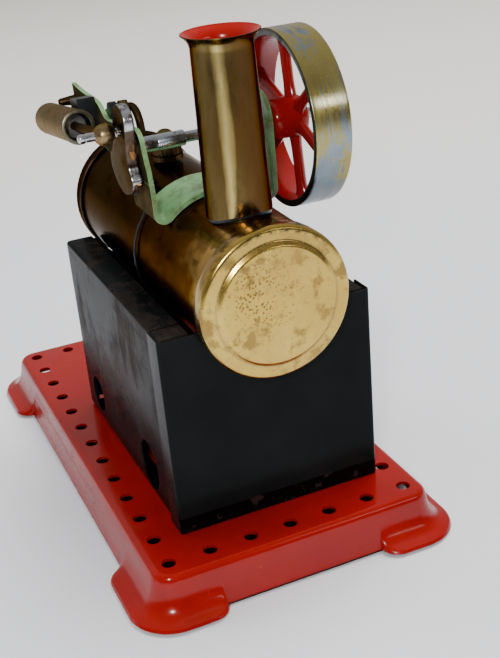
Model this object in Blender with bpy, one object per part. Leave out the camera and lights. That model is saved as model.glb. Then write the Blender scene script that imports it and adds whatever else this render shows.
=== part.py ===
"""Toy steam engine: boiler over a firebox on a pressed base, with an oscillating cylinder.

Frame: metres, +Z up, origin on the ground at the middle of the base.  +X runs along the
boiler to the chimney end, -Y is the cylinder side and +Y the flywheel side.
"""

import math

import bmesh
import bpy
from mathutils import Matrix, Vector

MM = 0.001
GAP = 0.3 * MM
RUN_FIT = 0.08 * MM
PRESS_FIT = 0.02 * MM

# Base tray
BASE_H = 14.0 * MM
LIP_HALF = (90.6 * MM, 52.0 * MM)
LIP_CORNER_R = 13.5 * MM
TRAY_T = 0.9 * MM
HOLE_PITCH = 12.7 * MM
HOLE_R = 2.1 * MM
HOLES_X = 13
HOLES_Y = 7
FOOT_START = (60.5 * MM, 30.5 * MM)
FOOT_RAMP = 5.5 * MM

# Firebox
BOX_X = (-29.0 * MM, 66.0 * MM)
BOX_Y = (-30.3 * MM, 34.9 * MM)
BOX_TOP = BASE_H + 62.5 * MM
SHEET_T = 0.6 * MM
WRAP_GAP = 0.12 * MM
WRAP_LEN = 8.5 * MM
FOLD_R = 0.9 * MM
TOP_FLANGE = 9.6 * MM
BOTTOM_FLANGE = 5.0 * MM
AIR_HOLES = ((39.3 * MM, 8.0 * MM), (-14.5 * MM, 6.2 * MM))
AIR_HOLE_Z = BASE_H + 9.9 * MM
TAB_X = (-8.0 * MM, 45.0 * MM)
TAB_W = 8.0 * MM

# Boiler
BOILER_Y = 1.7 * MM
BOILER_Z = BASE_H + 69.6 * MM
BOILER_R = 21.1 * MM
BOILER_WALL = 0.7 * MM
TUBE_X = (-42.2 * MM, 74.2 * MM)
CAP_R = 22.1 * MM
CAP_T = 0.6 * MM
CAP_FACE_X = 76.8 * MM
CAP_REAR_X = -44.8 * MM
CAP_SKIRT = 6.5 * MM
CAP_STEP = 1.0 * MM
CAP_STEP_R = 17.3 * MM

# Chimney
CHIMNEY_XY = (54.4 * MM, 1.7 * MM)
CHIMNEY_TOP = BASE_H + 139.1 * MM
CHIMNEY_R = (9.4 * MM, 8.5 * MM)
CHIMNEY_RIM_R = 10.7 * MM
CHIMNEY_WALL = 0.55 * MM
CHIMNEY_STEP = 1.0 * MM
CHIMNEY_LEAN = math.radians(0.9)

# Engine frame
FRAME_X = (21.3 * MM, 38.3 * MM)
FRAME_T = 1.4 * MM
FRAME_SEAT = 0.3 * MM
LEG_LEFT_Y = -17.3 * MM
PANEL_Y = -17.7 * MM
LEG_BEND_Z = (BASE_H + 92.0 * MM, BASE_H + 103.0 * MM)
LEG_RIGHT_Y = 20.2 * MM
RIGHT_TOP_Z = BASE_H + 108.0 * MM
FRAME_FOLD_R = 2.6 * MM
WIRE_R = 0.4 * MM
WIRE_X = 20.4 * MM

# Crank
SHAFT_X = 30.3 * MM
SHAFT_Z = BASE_H + 106.5 * MM
SHAFT_R = 1.6 * MM
SHAFT_Y = (-22.4 * MM, 38.4 * MM)
SLEEVE_R = 2.3 * MM
SLEEVE_Y = (-16.5 * MM, -3.6 * MM)
BUSH_R = 3.4 * MM
WEB_Y = (-23.1 * MM, -19.9 * MM)
CRANK_ANGLE = math.radians(77.0)
THROW = 5.5 * MM
PIN_R = 1.25 * MM
PIN_END_Y = -23.9 * MM

# Flywheel
WHEEL_Y = (25.4 * MM, 36.7 * MM)
WHEEL_R = 26.3 * MM
RIM_T = 2.3 * MM
HUB_R = 6.0 * MM
HUB_Y = (22.4 * MM, 34.0 * MM)
SPOKES = 6
SPOKE_PHASE = math.radians(98.0)
SPOKE_Y = 31.0 * MM

# Cylinder, rocking about PIVOT; s runs from the pivot towards the big end
CYL_Y = -27.3 * MM
PIVOT_X = -9.5 * MM
PIVOT_Z = SHAFT_Z
CYL_R = 5.1 * MM
BORE_R = 3.9 * MM
CYL_S = (-21.6 * MM, 14.2 * MM)
PISTON_S = (1.5 * MM, 8.8 * MM)
ROD_R = 1.3 * MM
BALL_R = 3.1 * MM
BALL_PIN_Y = (-34.8 * MM, -29.8 * MM)
PORT_BLOCK = (9.0 * MM, 13.0 * MM)
PORT_FACE_Y = PANEL_Y - FRAME_T / 2 - 0.1 * MM
PIVOT_R = 1.5 * MM
PIVOT_END_Y = -8.6 * MM

# Steam fittings
UNION_XZ = (2.4 * MM, BASE_H + 111.3 * MM)
PIPE_R = 1.25 * MM
PIPE_SEAT = (8.0 * MM, -9.5 * MM)
VALVE_X = -3.5 * MM

# Burner
TRAY_X = (-27.6 * MM, 30.0 * MM)
TRAY_HALF_Y = 20.0 * MM
TRAY_H = 9.0 * MM

BLACK = (0.012, 0.014, 0.015, 1)
RED = (0.42, 0.012, 0.008, 1)
GREEN = (0.24, 0.42, 0.22, 1)
BRASS = (0.44, 0.33, 0.14, 1)
DARK_BRASS = (0.16, 0.10, 0.04, 1)
STEEL = (0.42, 0.43, 0.45, 1)
DARK_STEEL = (0.10, 0.10, 0.11, 1)


def clear_scene():
    for obj in list(bpy.data.objects):
        bpy.data.objects.remove(obj)


def material(name, color, metallic, roughness):
    found = bpy.data.materials.get(name)
    if found:
        return found
    made = bpy.data.materials.new(name)
    made.use_nodes = True
    shader = made.node_tree.nodes["Principled BSDF"]
    shader.inputs["Base Color"].default_value = color
    shader.inputs["Metallic"].default_value = metallic
    shader.inputs["Roughness"].default_value = roughness
    return made


def add(name, bm, color, metallic=0.0, roughness=0.5, smooth=True):
    """Turn a bmesh into a named object with its own material."""
    bmesh.ops.recalc_face_normals(bm, faces=bm.faces[:])
    mesh = bpy.data.meshes.new(name)
    bm.to_mesh(mesh)
    bm.free()
    if smooth:
        mesh.shade_smooth()
        mesh.set_sharp_from_angle(angle=math.radians(35))
    obj = bpy.data.objects.new(name, mesh)
    obj.data.materials.append(material(name + "_mat", color, metallic, roughness))
    bpy.context.scene.collection.objects.link(obj)
    return obj


def combine(obj, bm, operation):
    """Apply one EXACT Boolean with a throwaway operand."""
    bmesh.ops.recalc_face_normals(bm, faces=bm.faces[:])
    mesh = bpy.data.meshes.new("operand")
    bm.to_mesh(mesh)
    bm.free()
    other = bpy.data.objects.new("operand", mesh)
    bpy.context.scene.collection.objects.link(other)
    modifier = obj.modifiers.new("boolean", "BOOLEAN")
    modifier.solver = "EXACT"
    modifier.operation = operation
    modifier.object = other
    graph = bpy.context.evaluated_depsgraph_get()
    result = bpy.data.meshes.new_from_object(obj.evaluated_get(graph))
    obj.modifiers.remove(modifier)
    old = obj.data
    obj.data = result
    bpy.data.objects.remove(other)
    bpy.data.meshes.remove(old)
    bpy.data.meshes.remove(mesh)
    obj.data.shade_smooth()
    obj.data.set_sharp_from_angle(angle=math.radians(35))
    return obj


def cut(obj, bm):
    return combine(obj, bm, "DIFFERENCE")


def join(obj, bm):
    return combine(obj, bm, "UNION")


def frame_matrix(origin, axis):
    """Matrix whose local +Z points along axis."""
    turn = Vector(axis).normalized().to_track_quat("Z", "Y").to_matrix().to_4x4()
    return Matrix.Translation(Vector(origin)) @ turn


def loft(rings):
    """Skin equal-length vertex rings, with a flat cap at each end."""
    bm = bmesh.new()
    rows = [[bm.verts.new(point) for point in ring] for ring in rings]
    count = len(rows[0])
    for low, high in zip(rows, rows[1:]):
        for i in range(count):
            j = (i + 1) % count
            bm.faces.new((low[i], low[j], high[j], high[i]))
    bm.faces.new(rows[0][::-1])
    bm.faces.new(rows[-1])
    return bm


def lathe(profile, origin, axis, segments=32):
    """Revolve (distance along axis, radius) points.  A profile off the axis closes on itself."""
    place = frame_matrix(origin, axis)
    bm = bmesh.new()
    rows = []
    for along, radius in profile:
        if radius < 1e-9:
            rows.append([bm.verts.new(place @ Vector((0, 0, along)))])
            continue
        ring = []
        for i in range(segments):
            a = 2 * math.pi * i / segments
            ring.append(bm.verts.new(place @ Vector((radius * math.cos(a), radius * math.sin(a), along))))
        rows.append(ring)
    pairs = list(zip(rows, rows[1:]))
    if len(rows[0]) > 1 and len(rows[-1]) > 1:
        pairs.append((rows[-1], rows[0]))
    for low, high in pairs:
        for i in range(segments):
            j = (i + 1) % segments
            quad = [low[i % len(low)], low[j % len(low)], high[j % len(high)], high[i % len(high)]]
            corners = list(dict.fromkeys(quad))
            if len(corners) > 2:
                bm.faces.new(corners)
    return bm


def rod(start, end, radius, segments=20, chamfer=0.0):
    """Solid round bar between two points."""
    length = (Vector(end) - Vector(start)).length
    profile = [(0, 0), (0, radius - chamfer)]
    if chamfer:
        profile += [(chamfer, radius), (length - chamfer, radius)]
    profile += [(length, radius - chamfer), (length, 0)]
    return lathe(profile, start, Vector(end) - Vector(start), segments)


def ring(start, end, inner, outer, segments=32):
    """Plain tube between two points."""
    length = (Vector(end) - Vector(start)).length
    profile = [(0, inner), (0, outer), (length, outer), (length, inner)]
    return lathe(profile, start, Vector(end) - Vector(start), segments)


def sweep(path, radius, sides=10):
    """Round wire or pipe along a smooth list of points."""
    path = [Vector(p) for p in path]
    rings = []
    side = None
    for i, point in enumerate(path):
        before = path[max(i - 1, 0)]
        after = path[min(i + 1, len(path) - 1)]
        tangent = (after - before).normalized()
        if side is None:
            side = tangent.orthogonal().normalized()
        side = (side - tangent * side.dot(tangent)).normalized()
        up = tangent.cross(side)
        circle = []
        for k in range(sides):
            a = 2 * math.pi * k / sides
            circle.append(point + radius * (side * math.cos(a) + up * math.sin(a)))
        rings.append(circle)
    return loft(rings)


def prism(outline, place, depth):
    """Extrude a 2D outline through depth along local Z of place."""
    low = [place @ Vector((u, v, 0)) for u, v in outline]
    high = [place @ Vector((u, v, depth)) for u, v in outline]
    return loft([low, high])


def facing(y):
    """Place a prism drawn in (x, z) on the plane y, running towards -Y."""
    return Matrix.Translation((0, y, 0)) @ Matrix.Rotation(math.pi / 2, 4, "X")


def along_x(x):
    """Place a prism drawn in (y, z) on the plane x, running towards +X."""
    return Matrix(((0, 0, 1, x), (1, 0, 0, 0), (0, 1, 0, 0), (0, 0, 0, 1)))


def box(low, high):
    outline = ((low[0], low[1]), (high[0], low[1]), (high[0], high[1]), (low[0], high[1]))
    return prism(outline, Matrix.Translation((0, 0, low[2])), high[2] - low[2])


def arc(center, radius, start, end, steps):
    """Points of a circular arc, angles in radians, both ends included."""
    points = []
    for i in range(steps + 1):
        a = start + (end - start) * i / steps
        points.append((center[0] + radius * math.cos(a), center[1] + radius * math.sin(a)))
    return points


def fillet(points, radii, steps=4):
    """Round the inner corners of an open 2D path."""
    out = [Vector(points[0])]
    for i in range(1, len(points) - 1):
        corner = Vector(points[i])
        back = (Vector(points[i - 1]) - corner).normalized()
        ahead = (Vector(points[i + 1]) - corner).normalized()
        radius = radii[i - 1]
        if radius <= 0:
            out.append(corner)
            continue
        half = back.angle(ahead) / 2
        reach = radius / math.tan(half)
        middle = corner + (back + ahead).normalized() * (radius / math.sin(half))
        first = corner + back * reach - middle
        last = corner + ahead * reach - middle
        turn = first.angle_signed(last)
        for k in range(steps + 1):
            a = -turn * k / steps
            rotated = Vector((
                first.x * math.cos(a) - first.y * math.sin(a),
                first.x * math.sin(a) + first.y * math.cos(a),
            ))
            out.append(middle + rotated)
    out.append(Vector(points[-1]))
    return out


def strip(path, thickness):
    """Closed outline of a sheet of even thickness along an open 2D path."""
    left = []
    right = []
    for i, point in enumerate(path):
        before = path[max(i - 1, 0)]
        after = path[min(i + 1, len(path) - 1)]
        into = (point - before).normalized() if i else (after - point).normalized()
        away = (after - point).normalized() if i < len(path) - 1 else into
        normal_in = Vector((-into.y, into.x))
        normal_out = Vector((-away.y, away.x))
        bisector = (normal_in + normal_out).normalized()
        reach = thickness / 2 / max(bisector.dot(normal_in), 0.3)
        left.append(point + bisector * reach)
        right.append(point - bisector * reach)
    return [tuple(p) for p in left + right[::-1]]


def boiler_cutter(radius, x0, x1, segments=48):
    start = (x0, BOILER_Y, BOILER_Z)
    return rod(start, (x1, BOILER_Y, BOILER_Z), radius, segments)


# ---------------------------------------------------------------- base

def tray_perimeter():
    """Perimeter stations: (anchor point, outward normal, foot weight)."""
    stations = []
    hx = LIP_HALF[0] - LIP_CORNER_R
    hy = LIP_HALF[1] - LIP_CORNER_R
    turns = [math.radians(a) for a in (0, 25, 50, 75, 90)]
    ramp = [(math.sin(a), math.cos(a)) for a in turns]
    for quarter in range(4):
        sx, sy = ((1, 1), (-1, 1), (-1, -1), (1, -1))[quarter]
        corner = Vector((sx * hx, sy * hy, 0))
        for k in range(5):
            a = math.pi / 2 * (quarter + k / 4)
            stations.append((corner, Vector((math.cos(a), math.sin(a), 0)), 1.0))
        normal = Vector((math.cos(math.pi / 2 * (quarter + 1)), math.sin(math.pi / 2 * (quarter + 1)), 0))
        along_long_side = quarter % 2 == 0
        start = FOOT_START[0] if along_long_side else FOOT_START[1]
        run = []
        for step, weight in ramp:
            run.append((start - step * FOOT_RAMP, weight))
        side_sign = sx if along_long_side else sy
        for distance, weight in run + [(-d, w) for d, w in run[::-1]]:
            value = side_sign * distance
            anchor = Vector((value, sy * hy, 0)) if along_long_side else Vector((sx * hx, value, 0))
            stations.append((anchor, normal, weight))
    return stations


def skirt_section(weight):
    """Sheet section from the flat top out to the free edge, as (inset, height) outer and inner."""
    top = BASE_H
    flat = (BASE_H - TRAY_T) / MM
    shoulder = [(10.0, 0.0), (8.9, 0.25), (8.1, 1.0), (7.6, 2.2)]
    plain = shoulder + [(6.6, 7.0), (6.2, 9.0), (5.8, 10.6), (5.4, 11.9), (5.1, 12.9)]
    foot = shoulder + [(6.1, 9.0), (4.9, 11.7), (3.4, flat), (1.7, flat), (0.0, flat)]
    outer = []
    for a, b in zip(plain, foot):
        outer.append(Vector((
            (a[0] + (b[0] - a[0]) * weight) * MM,
            top - (a[1] + (b[1] - a[1]) * weight) * MM,
        )))
    inner = []
    for i, point in enumerate(outer):
        before = outer[max(i - 1, 0)]
        after = outer[min(i + 1, len(outer) - 1)]
        along = (after - before).normalized()
        inner.append(point + Vector((-along.y, along.x)) * TRAY_T)
    return outer, inner


def base_plate():
    stations = tray_perimeter()
    rows = []
    for anchor, normal, weight in stations:
        outer, inner = skirt_section(weight)
        section = []
        for inset, height in outer + inner[::-1]:
            spot = anchor + normal * (LIP_CORNER_R - inset)
            section.append((spot.x, spot.y, height))
        rows.append(section)
    count = len(rows)
    depth = len(rows[0])
    bm = bmesh.new()
    grid = [[bm.verts.new(p) for p in row] for row in rows]
    for i in range(count):
        j = (i + 1) % count
        for k in range(depth - 1):
            bm.faces.new((grid[i][k], grid[j][k], grid[j][k + 1], grid[i][k + 1]))
    bm.faces.new([row[0] for row in grid])
    bm.faces.new([row[-1] for row in grid][::-1])
    bmesh.ops.triangulate(bm, faces=[f for f in bm.faces if len(f.verts) > 4])
    tray = add("base_plate", bm, RED, 0.0, 0.25)
    holes = bmesh.new()
    for ix in range(HOLES_X):
        for iy in range(HOLES_Y):
            if 0 < ix < HOLES_X - 1 and 0 < iy < HOLES_Y - 1:
                continue
            x = (ix - (HOLES_X - 1) / 2) * HOLE_PITCH
            y = (iy - (HOLES_Y - 1) / 2) * HOLE_PITCH
            add_drum(holes, (x, y, BASE_H - 2 * MM), (x, y, BASE_H + 1 * MM), HOLE_R, 10)
    for y, sign in ((BOX_Y[0], 1), (BOX_Y[1], -1)):
        for x in TAB_X:
            centre = y + sign * (SHEET_T * 1.5 + WRAP_GAP)
            add_block(
                holes,
                (x - TAB_W / 2 - GAP, centre - SHEET_T / 2 - GAP, BASE_H - 2 * MM),
                (x + TAB_W / 2 + GAP, centre + SHEET_T / 2 + GAP, BASE_H + 1 * MM),
            )
    cut(tray, holes)


def merge_into(target, source):
    """Copy one bmesh into another."""
    mesh = bpy.data.meshes.new("merge")
    source.to_mesh(mesh)
    source.free()
    target.from_mesh(mesh)
    bpy.data.meshes.remove(mesh)


def add_drum(target, start, end, radius, segments):
    merge_into(target, rod(start, end, radius, segments))


def add_block(target, low, high):
    merge_into(target, box(low, high))


# ---------------------------------------------------------------- firebox

def end_plate(name, x_face, inward, inset):
    """End plate of the firebox. Its flanges lie inset from the box's outer faces, outside or inside the walls."""
    x_mid = x_face + inward * SHEET_T / 2
    flange_x = x_face + inward * WRAP_LEN
    y0 = BOX_Y[0] + inset + SHEET_T / 2
    y1 = BOX_Y[1] - inset - SHEET_T / 2
    path = fillet([(flange_x, y0), (x_mid, y0), (x_mid, y1), (flange_x, y1)], (FOLD_R, FOLD_R))
    low = BASE_H + GAP + inset
    bm = prism(strip(path, SHEET_T), Matrix.Translation((0, 0, low)), BOX_TOP - inset - low)
    plate = add(name, bm, BLACK, 0.0, 0.3)
    cut(plate, boiler_cutter(BOILER_R + GAP, x_face - 12 * MM, x_face + 12 * MM))
    return plate


def firebox_ends():
    end_plate("firebox_front_end", BOX_X[1], -1, 0)
    rear = end_plate("firebox_rear_end", BOX_X[0], 1, 2 * (SHEET_T + WRAP_GAP))
    half = TRAY_HALF_Y + 1.5 * MM
    mid = (BOX_Y[0] + BOX_Y[1]) / 2
    opening = box(
        (BOX_X[0] - 2 * MM, mid - half, BASE_H - 1 * MM),
        (BOX_X[0] + 2 * MM, mid + half, BASE_H + TRAY_H + 5 * MM),
    )
    cut(rear, opening)


def side_wall(name, y_outer, inward):
    """Side wall with folded top and bottom flanges, air holes and base tabs."""
    y_mid = y_outer + inward * (SHEET_T * 1.5 + WRAP_GAP)
    top = BOX_TOP - SHEET_T / 2
    bottom = BASE_H + GAP + SHEET_T / 2
    path = fillet(
        [
            (y_outer + inward * TOP_FLANGE, top),
            (y_mid, top),
            (y_mid, bottom),
            (y_mid + inward * BOTTOM_FLANGE, bottom),
        ],
        (FOLD_R, FOLD_R),
    )
    x0 = BOX_X[0] + SHEET_T + FOLD_R
    x1 = BOX_X[1] - SHEET_T - FOLD_R
    bm = prism(strip(path, SHEET_T), along_x(x0), x1 - x0)
    wall = add(name, bm, BLACK, 0.0, 0.4)
    under = BASE_H - TRAY_T - GAP
    for x in TAB_X:
        tab = box(
            (x - TAB_W / 2, y_mid - SHEET_T / 2, under - SHEET_T),
            (x + TAB_W / 2, y_mid + SHEET_T / 2, bottom + 3 * MM),
        )
        join(wall, tab)
        y_edges = sorted((y_mid - inward * SHEET_T / 2, y_mid + inward * 4 * MM))
        foot = box((x - TAB_W / 2, y_edges[0], under - SHEET_T), (x + TAB_W / 2, y_edges[1], under))
        join(wall, foot)
    for x, radius in AIR_HOLES:
        cut(wall, rod((x, y_mid - 2 * MM, AIR_HOLE_Z), (x, y_mid + 2 * MM, AIR_HOLE_Z), radius, 40))


def firebox_walls():
    side_wall("firebox_left_side", BOX_Y[0], 1)
    side_wall("firebox_right_side", BOX_Y[1], -1)


# ---------------------------------------------------------------- boiler

def cap_profile():
    """Section of a boiler cap with a raised centre disc, distances from its face inwards."""
    t = CAP_T
    step = CAP_STEP
    outer = [
        (0, 0),
        (0, CAP_STEP_R - 0.65 * MM),
        (step, CAP_STEP_R + 0.65 * MM),
        (step, CAP_R - 1.8 * MM),
        (step + 0.5 * MM, CAP_R - 0.5 * MM),
        (step + 1.7 * MM, CAP_R),
        (CAP_SKIRT, CAP_R),
    ]
    inner = [
        (CAP_SKIRT, CAP_R - t),
        (step + 1.7 * MM, CAP_R - t),
        (step + t, CAP_R - 2.0 * MM),
        (step + t, CAP_STEP_R + 0.45 * MM),
        (t, CAP_STEP_R - 0.85 * MM),
        (t, 0),
    ]
    return outer + inner


def boiler():
    tube = add(
        "boiler_tube",
        ring(
            (TUBE_X[0], BOILER_Y, BOILER_Z),
            (TUBE_X[1], BOILER_Y, BOILER_Z),
            BOILER_R - BOILER_WALL,
            BOILER_R,
            48,
        ),
        DARK_BRASS, 1.0, 0.35,
    )
    top = BOILER_Z + BOILER_R
    cut(tube, rod((VALVE_X, BOILER_Y, top - 4 * MM), (VALVE_X, BOILER_Y, top + 2 * MM), 3.1 * MM + GAP, 24))
    x, y = PIPE_SEAT
    cut(tube, rod((x, y, BOILER_Z + 10 * MM), (x, y, top + 2 * MM), PIPE_R + GAP, 16))
    add("boiler_cap_front", lathe(cap_profile(), (CAP_FACE_X, BOILER_Y, BOILER_Z), (-1, 0, 0), 48),
        BRASS, 1.0, 0.3)
    add("boiler_cap_rear", lathe(cap_profile(), (CAP_REAR_X, BOILER_Y, BOILER_Z), (1, 0, 0), 36),
        DARK_BRASS, 1.0, 0.35)


def chimney():
    x, y = CHIMNEY_XY
    low = BOILER_Z + 15 * MM
    height = CHIMNEY_TOP - low
    t = CHIMNEY_WALL
    r0, r1 = CHIMNEY_R
    rim = CHIMNEY_RIM_R
    profile = [
        (0, r0 - t),
        (0, r0),
        (height - 3.6 * MM, r1),
        (height - 1.4 * MM, r1 + 0.8 * MM),
        (height - 0.2 * MM, rim),
        (height, rim - 0.4 * MM),
        (height - 1.6 * MM, r1 + 0.15 * MM),
        (height - 3.8 * MM, r1 - t),
    ]
    axis = (0, -math.sin(CHIMNEY_LEAN), math.cos(CHIMNEY_LEAN))
    stack = add("chimney", lathe(profile, (x, y, low), axis, 36), BRASS, 1.0, 0.35)
    cut(stack, boiler_cutter(BOILER_R + CHIMNEY_STEP, x - 20 * MM, x + 20 * MM, 96))
    spigot = add("spigot", lathe(spigot_profile(r0 - t), (x, y, low), axis, 36), BRASS)
    cut(spigot, boiler_cutter(BOILER_R + 0.1 * MM, x - 20 * MM, x + 20 * MM, 96))
    collar = bmesh.new()
    collar.from_mesh(spigot.data)
    bpy.data.objects.remove(spigot)
    join(stack, collar)


def spigot_profile(radius):
    """Inner sleeve that carries the chimney on the boiler, let into the tube's wall by a hair."""
    outer = radius + 0.15 * MM
    return [(0, radius - 0.5 * MM), (0, outer), (9.0 * MM, outer), (9.0 * MM, radius - 0.5 * MM)]


# ---------------------------------------------------------------- engine frame

def panel_outline():
    """Left panel seen from the cylinder side, in (x, z)."""
    z = BASE_H
    crown = arc((SHAFT_X, SHAFT_Z), 5.2 * MM, math.radians(5), math.radians(80), 5)
    start = [(FRAME_X[1], z + 94.5 * MM), (FRAME_X[1] - 0.6 * MM, z + 101 * MM)]
    back = [
        (23.0 * MM, z + 111.2 * MM),
        (13.9 * MM, z + 109.8 * MM),
        (6.0 * MM, z + 108.9 * MM),
        (1.9 * MM, z + 108.9 * MM),
        (-0.8 * MM, z + 110.3 * MM),
        (-4.0 * MM, z + 112.0 * MM),
        (-8.5 * MM, z + 112.7 * MM),
        (-21.4 * MM, z + 112.8 * MM),
        (-32.4 * MM, z + 113.7 * MM),
        (-31.8 * MM, z + 110.0 * MM),
        (-32.6 * MM, z + 106.5 * MM),
        (-31.2 * MM, z + 101.6 * MM),
        (-28.0 * MM, z + 100.2 * MM),
        (-6.0 * MM, z + 99.3 * MM),
        (4.0 * MM, z + 97.8 * MM),
        (14.0 * MM, z + 95.2 * MM),
        (FRAME_X[0], z + 94.5 * MM),
    ]
    return start + crown + back


def lean(y_flat, z):
    """Y of the left sheet's middle at height z: the leg leans out between its two bend lines."""
    low, high = LEG_BEND_Z
    share = min(max((z - low) / (high - low), 0), 1)
    return y_flat + (PANEL_Y - LEG_LEFT_Y) * share


def fold(seat_r, y):
    """Centre of the bend that joins a leg to the saddle, and its direction from the boiler's axis."""
    rise = math.sqrt((seat_r + FRAME_FOLD_R) ** 2 - (y - BOILER_Y) ** 2)
    return (y, BOILER_Z + rise), math.atan2(rise, y - BOILER_Y)


def engine_frame():
    seat_r = BOILER_R + FRAME_SEAT + FRAME_T / 2
    left, a_left = fold(seat_r, LEG_LEFT_Y + FRAME_FOLD_R)
    right, a_right = fold(seat_r, LEG_RIGHT_Y - FRAME_FOLD_R)
    path = [(LEG_LEFT_Y, LEG_BEND_Z[0] + 5.0 * MM)]
    path += arc(left, FRAME_FOLD_R, math.pi, math.pi + a_left, 6)
    path += arc((BOILER_Y, BOILER_Z), seat_r, a_left, a_right, 9)[1:-1]
    path += arc(right, FRAME_FOLD_R, math.pi + a_right, 2 * math.pi, 6)
    path = [Vector(p) for p in path + [(LEG_RIGHT_Y, RIGHT_TOP_Z)]]
    width = FRAME_X[1] - FRAME_X[0]
    frame = add("engine_frame", prism(strip(path, FRAME_T), along_x(FRAME_X[0]), width), GREEN, 0.0, 0.45)
    mid_x = (FRAME_X[0] + FRAME_X[1]) / 2
    crown = arc((mid_x, RIGHT_TOP_Z), width / 2, math.radians(-6), math.radians(186), 12)
    join(frame, prism(crown, facing(LEG_RIGHT_Y + FRAME_T / 2), FRAME_T))
    panel = prism(panel_outline(), facing(LEG_LEFT_Y + FRAME_T / 2), FRAME_T)
    join(frame, panel)
    bend_left_leg(frame)
    bore(frame, SHAFT_X, SHAFT_Z, PANEL_Y, BUSH_R - 0.9 * MM + 0.05 * MM)
    bore(frame, SHAFT_X, SHAFT_Z, LEG_RIGHT_Y, BUSH_R - 0.9 * MM + 0.05 * MM)
    bore(frame, PIVOT_X, PIVOT_Z, PANEL_Y, PIVOT_R + RUN_FIT)
    bore(frame, UNION_XZ[0], UNION_XZ[1] - 4.6 * MM, PANEL_Y, 0.8 * MM)
    bore(frame, UNION_XZ[0] - 26.4 * MM, UNION_XZ[1] - 4.8 * MM, PANEL_Y, 0.8 * MM)


def bend_left_leg(frame):
    """Cut the left sheet at its bend lines, then lean it outwards."""
    bm = bmesh.new()
    bm.from_mesh(frame.data)
    for z in LEG_BEND_Z:
        everything = bm.verts[:] + bm.edges[:] + bm.faces[:]
        bmesh.ops.bisect_plane(bm, geom=everything, plane_co=(0, 0, z), plane_no=(0, 0, 1), dist=1e-7)
    for vert in bm.verts:
        if vert.co.y < BOILER_Y and vert.co.z > LEG_BEND_Z[0]:
            vert.co.y = lean(vert.co.y, vert.co.z)
    bm.to_mesh(frame.data)
    bm.free()


def bore(obj, x, z, y, radius):
    cut(obj, rod((x, y - 3 * MM, z), (x, y + 3 * MM, z), radius, 20))


def frame_wire():
    """Retaining wire: round the underside of the boiler, its ends hooked into the frame's folds."""
    reach = BOILER_R + GAP + WIRE_R
    hook_r = BOILER_R + FRAME_SEAT + FRAME_T + 0.45 * MM + WIRE_R
    seat_r = BOILER_R + FRAME_SEAT + FRAME_T / 2
    a_left = fold(seat_r, LEG_LEFT_Y + FRAME_FOLD_R)[1]
    a_right = fold(seat_r, LEG_RIGHT_Y - FRAME_FOLD_R)[1]
    path = []
    for x in (FRAME_X[0] + 5 * MM, FRAME_X[0] + 2 * MM):
        path.append((x, BOILER_Y + hook_r * math.cos(a_left), BOILER_Z + hook_r * math.sin(a_left)))
    lifted = hook_r - 0.2 * MM
    path.append((WIRE_X + 0.3 * MM, BOILER_Y + lifted * math.cos(a_left), BOILER_Z + lifted * math.sin(a_left)))
    turn = 2 * math.pi - (a_left - a_right)
    for k in range(1, 26):
        a = a_left + turn * k / 26
        path.append((WIRE_X, BOILER_Y + reach * math.cos(a), BOILER_Z + reach * math.sin(a)))
    path.append((WIRE_X + 0.3 * MM, BOILER_Y + lifted * math.cos(a_right), BOILER_Z + lifted * math.sin(a_right)))
    for x in (FRAME_X[0] + 2 * MM, FRAME_X[0] + 5 * MM):
        path.append((x, BOILER_Y + hook_r * math.cos(a_right), BOILER_Z + hook_r * math.sin(a_right)))
    add("frame_clamp_wire", sweep(path, WIRE_R, 6), DARK_STEEL, 1.0, 0.5)


def bearing_bush(name, y_mid, outward):
    """Shouldered bush; the shoulder sits on the face pointing outward (-1 or +1)."""
    inner = SHAFT_R + RUN_FIT
    neck = BUSH_R - 0.9 * MM
    half = FRAME_T / 2
    profile = [
        (-half - 0.3 * MM, inner),
        (-half - 0.3 * MM, neck),
        (half + 0.05 * MM, neck),
        (half + 0.05 * MM, BUSH_R),
        (half + 0.75 * MM, BUSH_R),
        (half + 0.75 * MM, inner),
    ]
    place = (SHAFT_X, y_mid, SHAFT_Z)
    add(name, lathe(profile, place, (0, outward, 0), 20), BRASS, 1.0, 0.4)


# ---------------------------------------------------------------- crank and flywheel

def crank_parts():
    sx, sz = SHAFT_X, SHAFT_Z
    add("crankshaft", rod((sx, SHAFT_Y[0], sz), (sx, SHAFT_Y[1], sz), SHAFT_R, 28, 0.25 * MM),
        STEEL, 1.0, 0.25)
    sleeve = ring((sx, SLEEVE_Y[0], sz), (sx, SLEEVE_Y[1], sz), SHAFT_R + PRESS_FIT, SLEEVE_R, 28)
    add("shaft_sleeve", sleeve, STEEL, 1.0, 0.3)
    crank_web()
    px = sx + THROW * math.cos(CRANK_ANGLE)
    pz = sz + THROW * math.sin(CRANK_ANGLE)
    add("crank_pin", rod((px, PIN_END_Y, pz), (px, WEB_Y[0] + 2.4 * MM, pz), PIN_R, 20, 0.15 * MM),
        STEEL, 1.0, 0.2)


def web_half():
    """One edge of the crank web, (along the crank, across it), from the pin end to the weight."""
    return [
        (13.2, 0.0), (13.0, 1.8), (12.2, 3.4), (10.9, 4.5), (9.0, 5.1), (6.0, 5.5), (2.5, 5.9),
        (-0.6, 6.2), (-2.6, 6.9), (-4.2, 8.2), (-5.4, 9.2), (-6.8, 9.6), (-8.4, 9.2),
        (-10.4, 7.6), (-12.0, 5.2), (-13.0, 2.6), (-13.3, 0.0),
    ]


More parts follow.
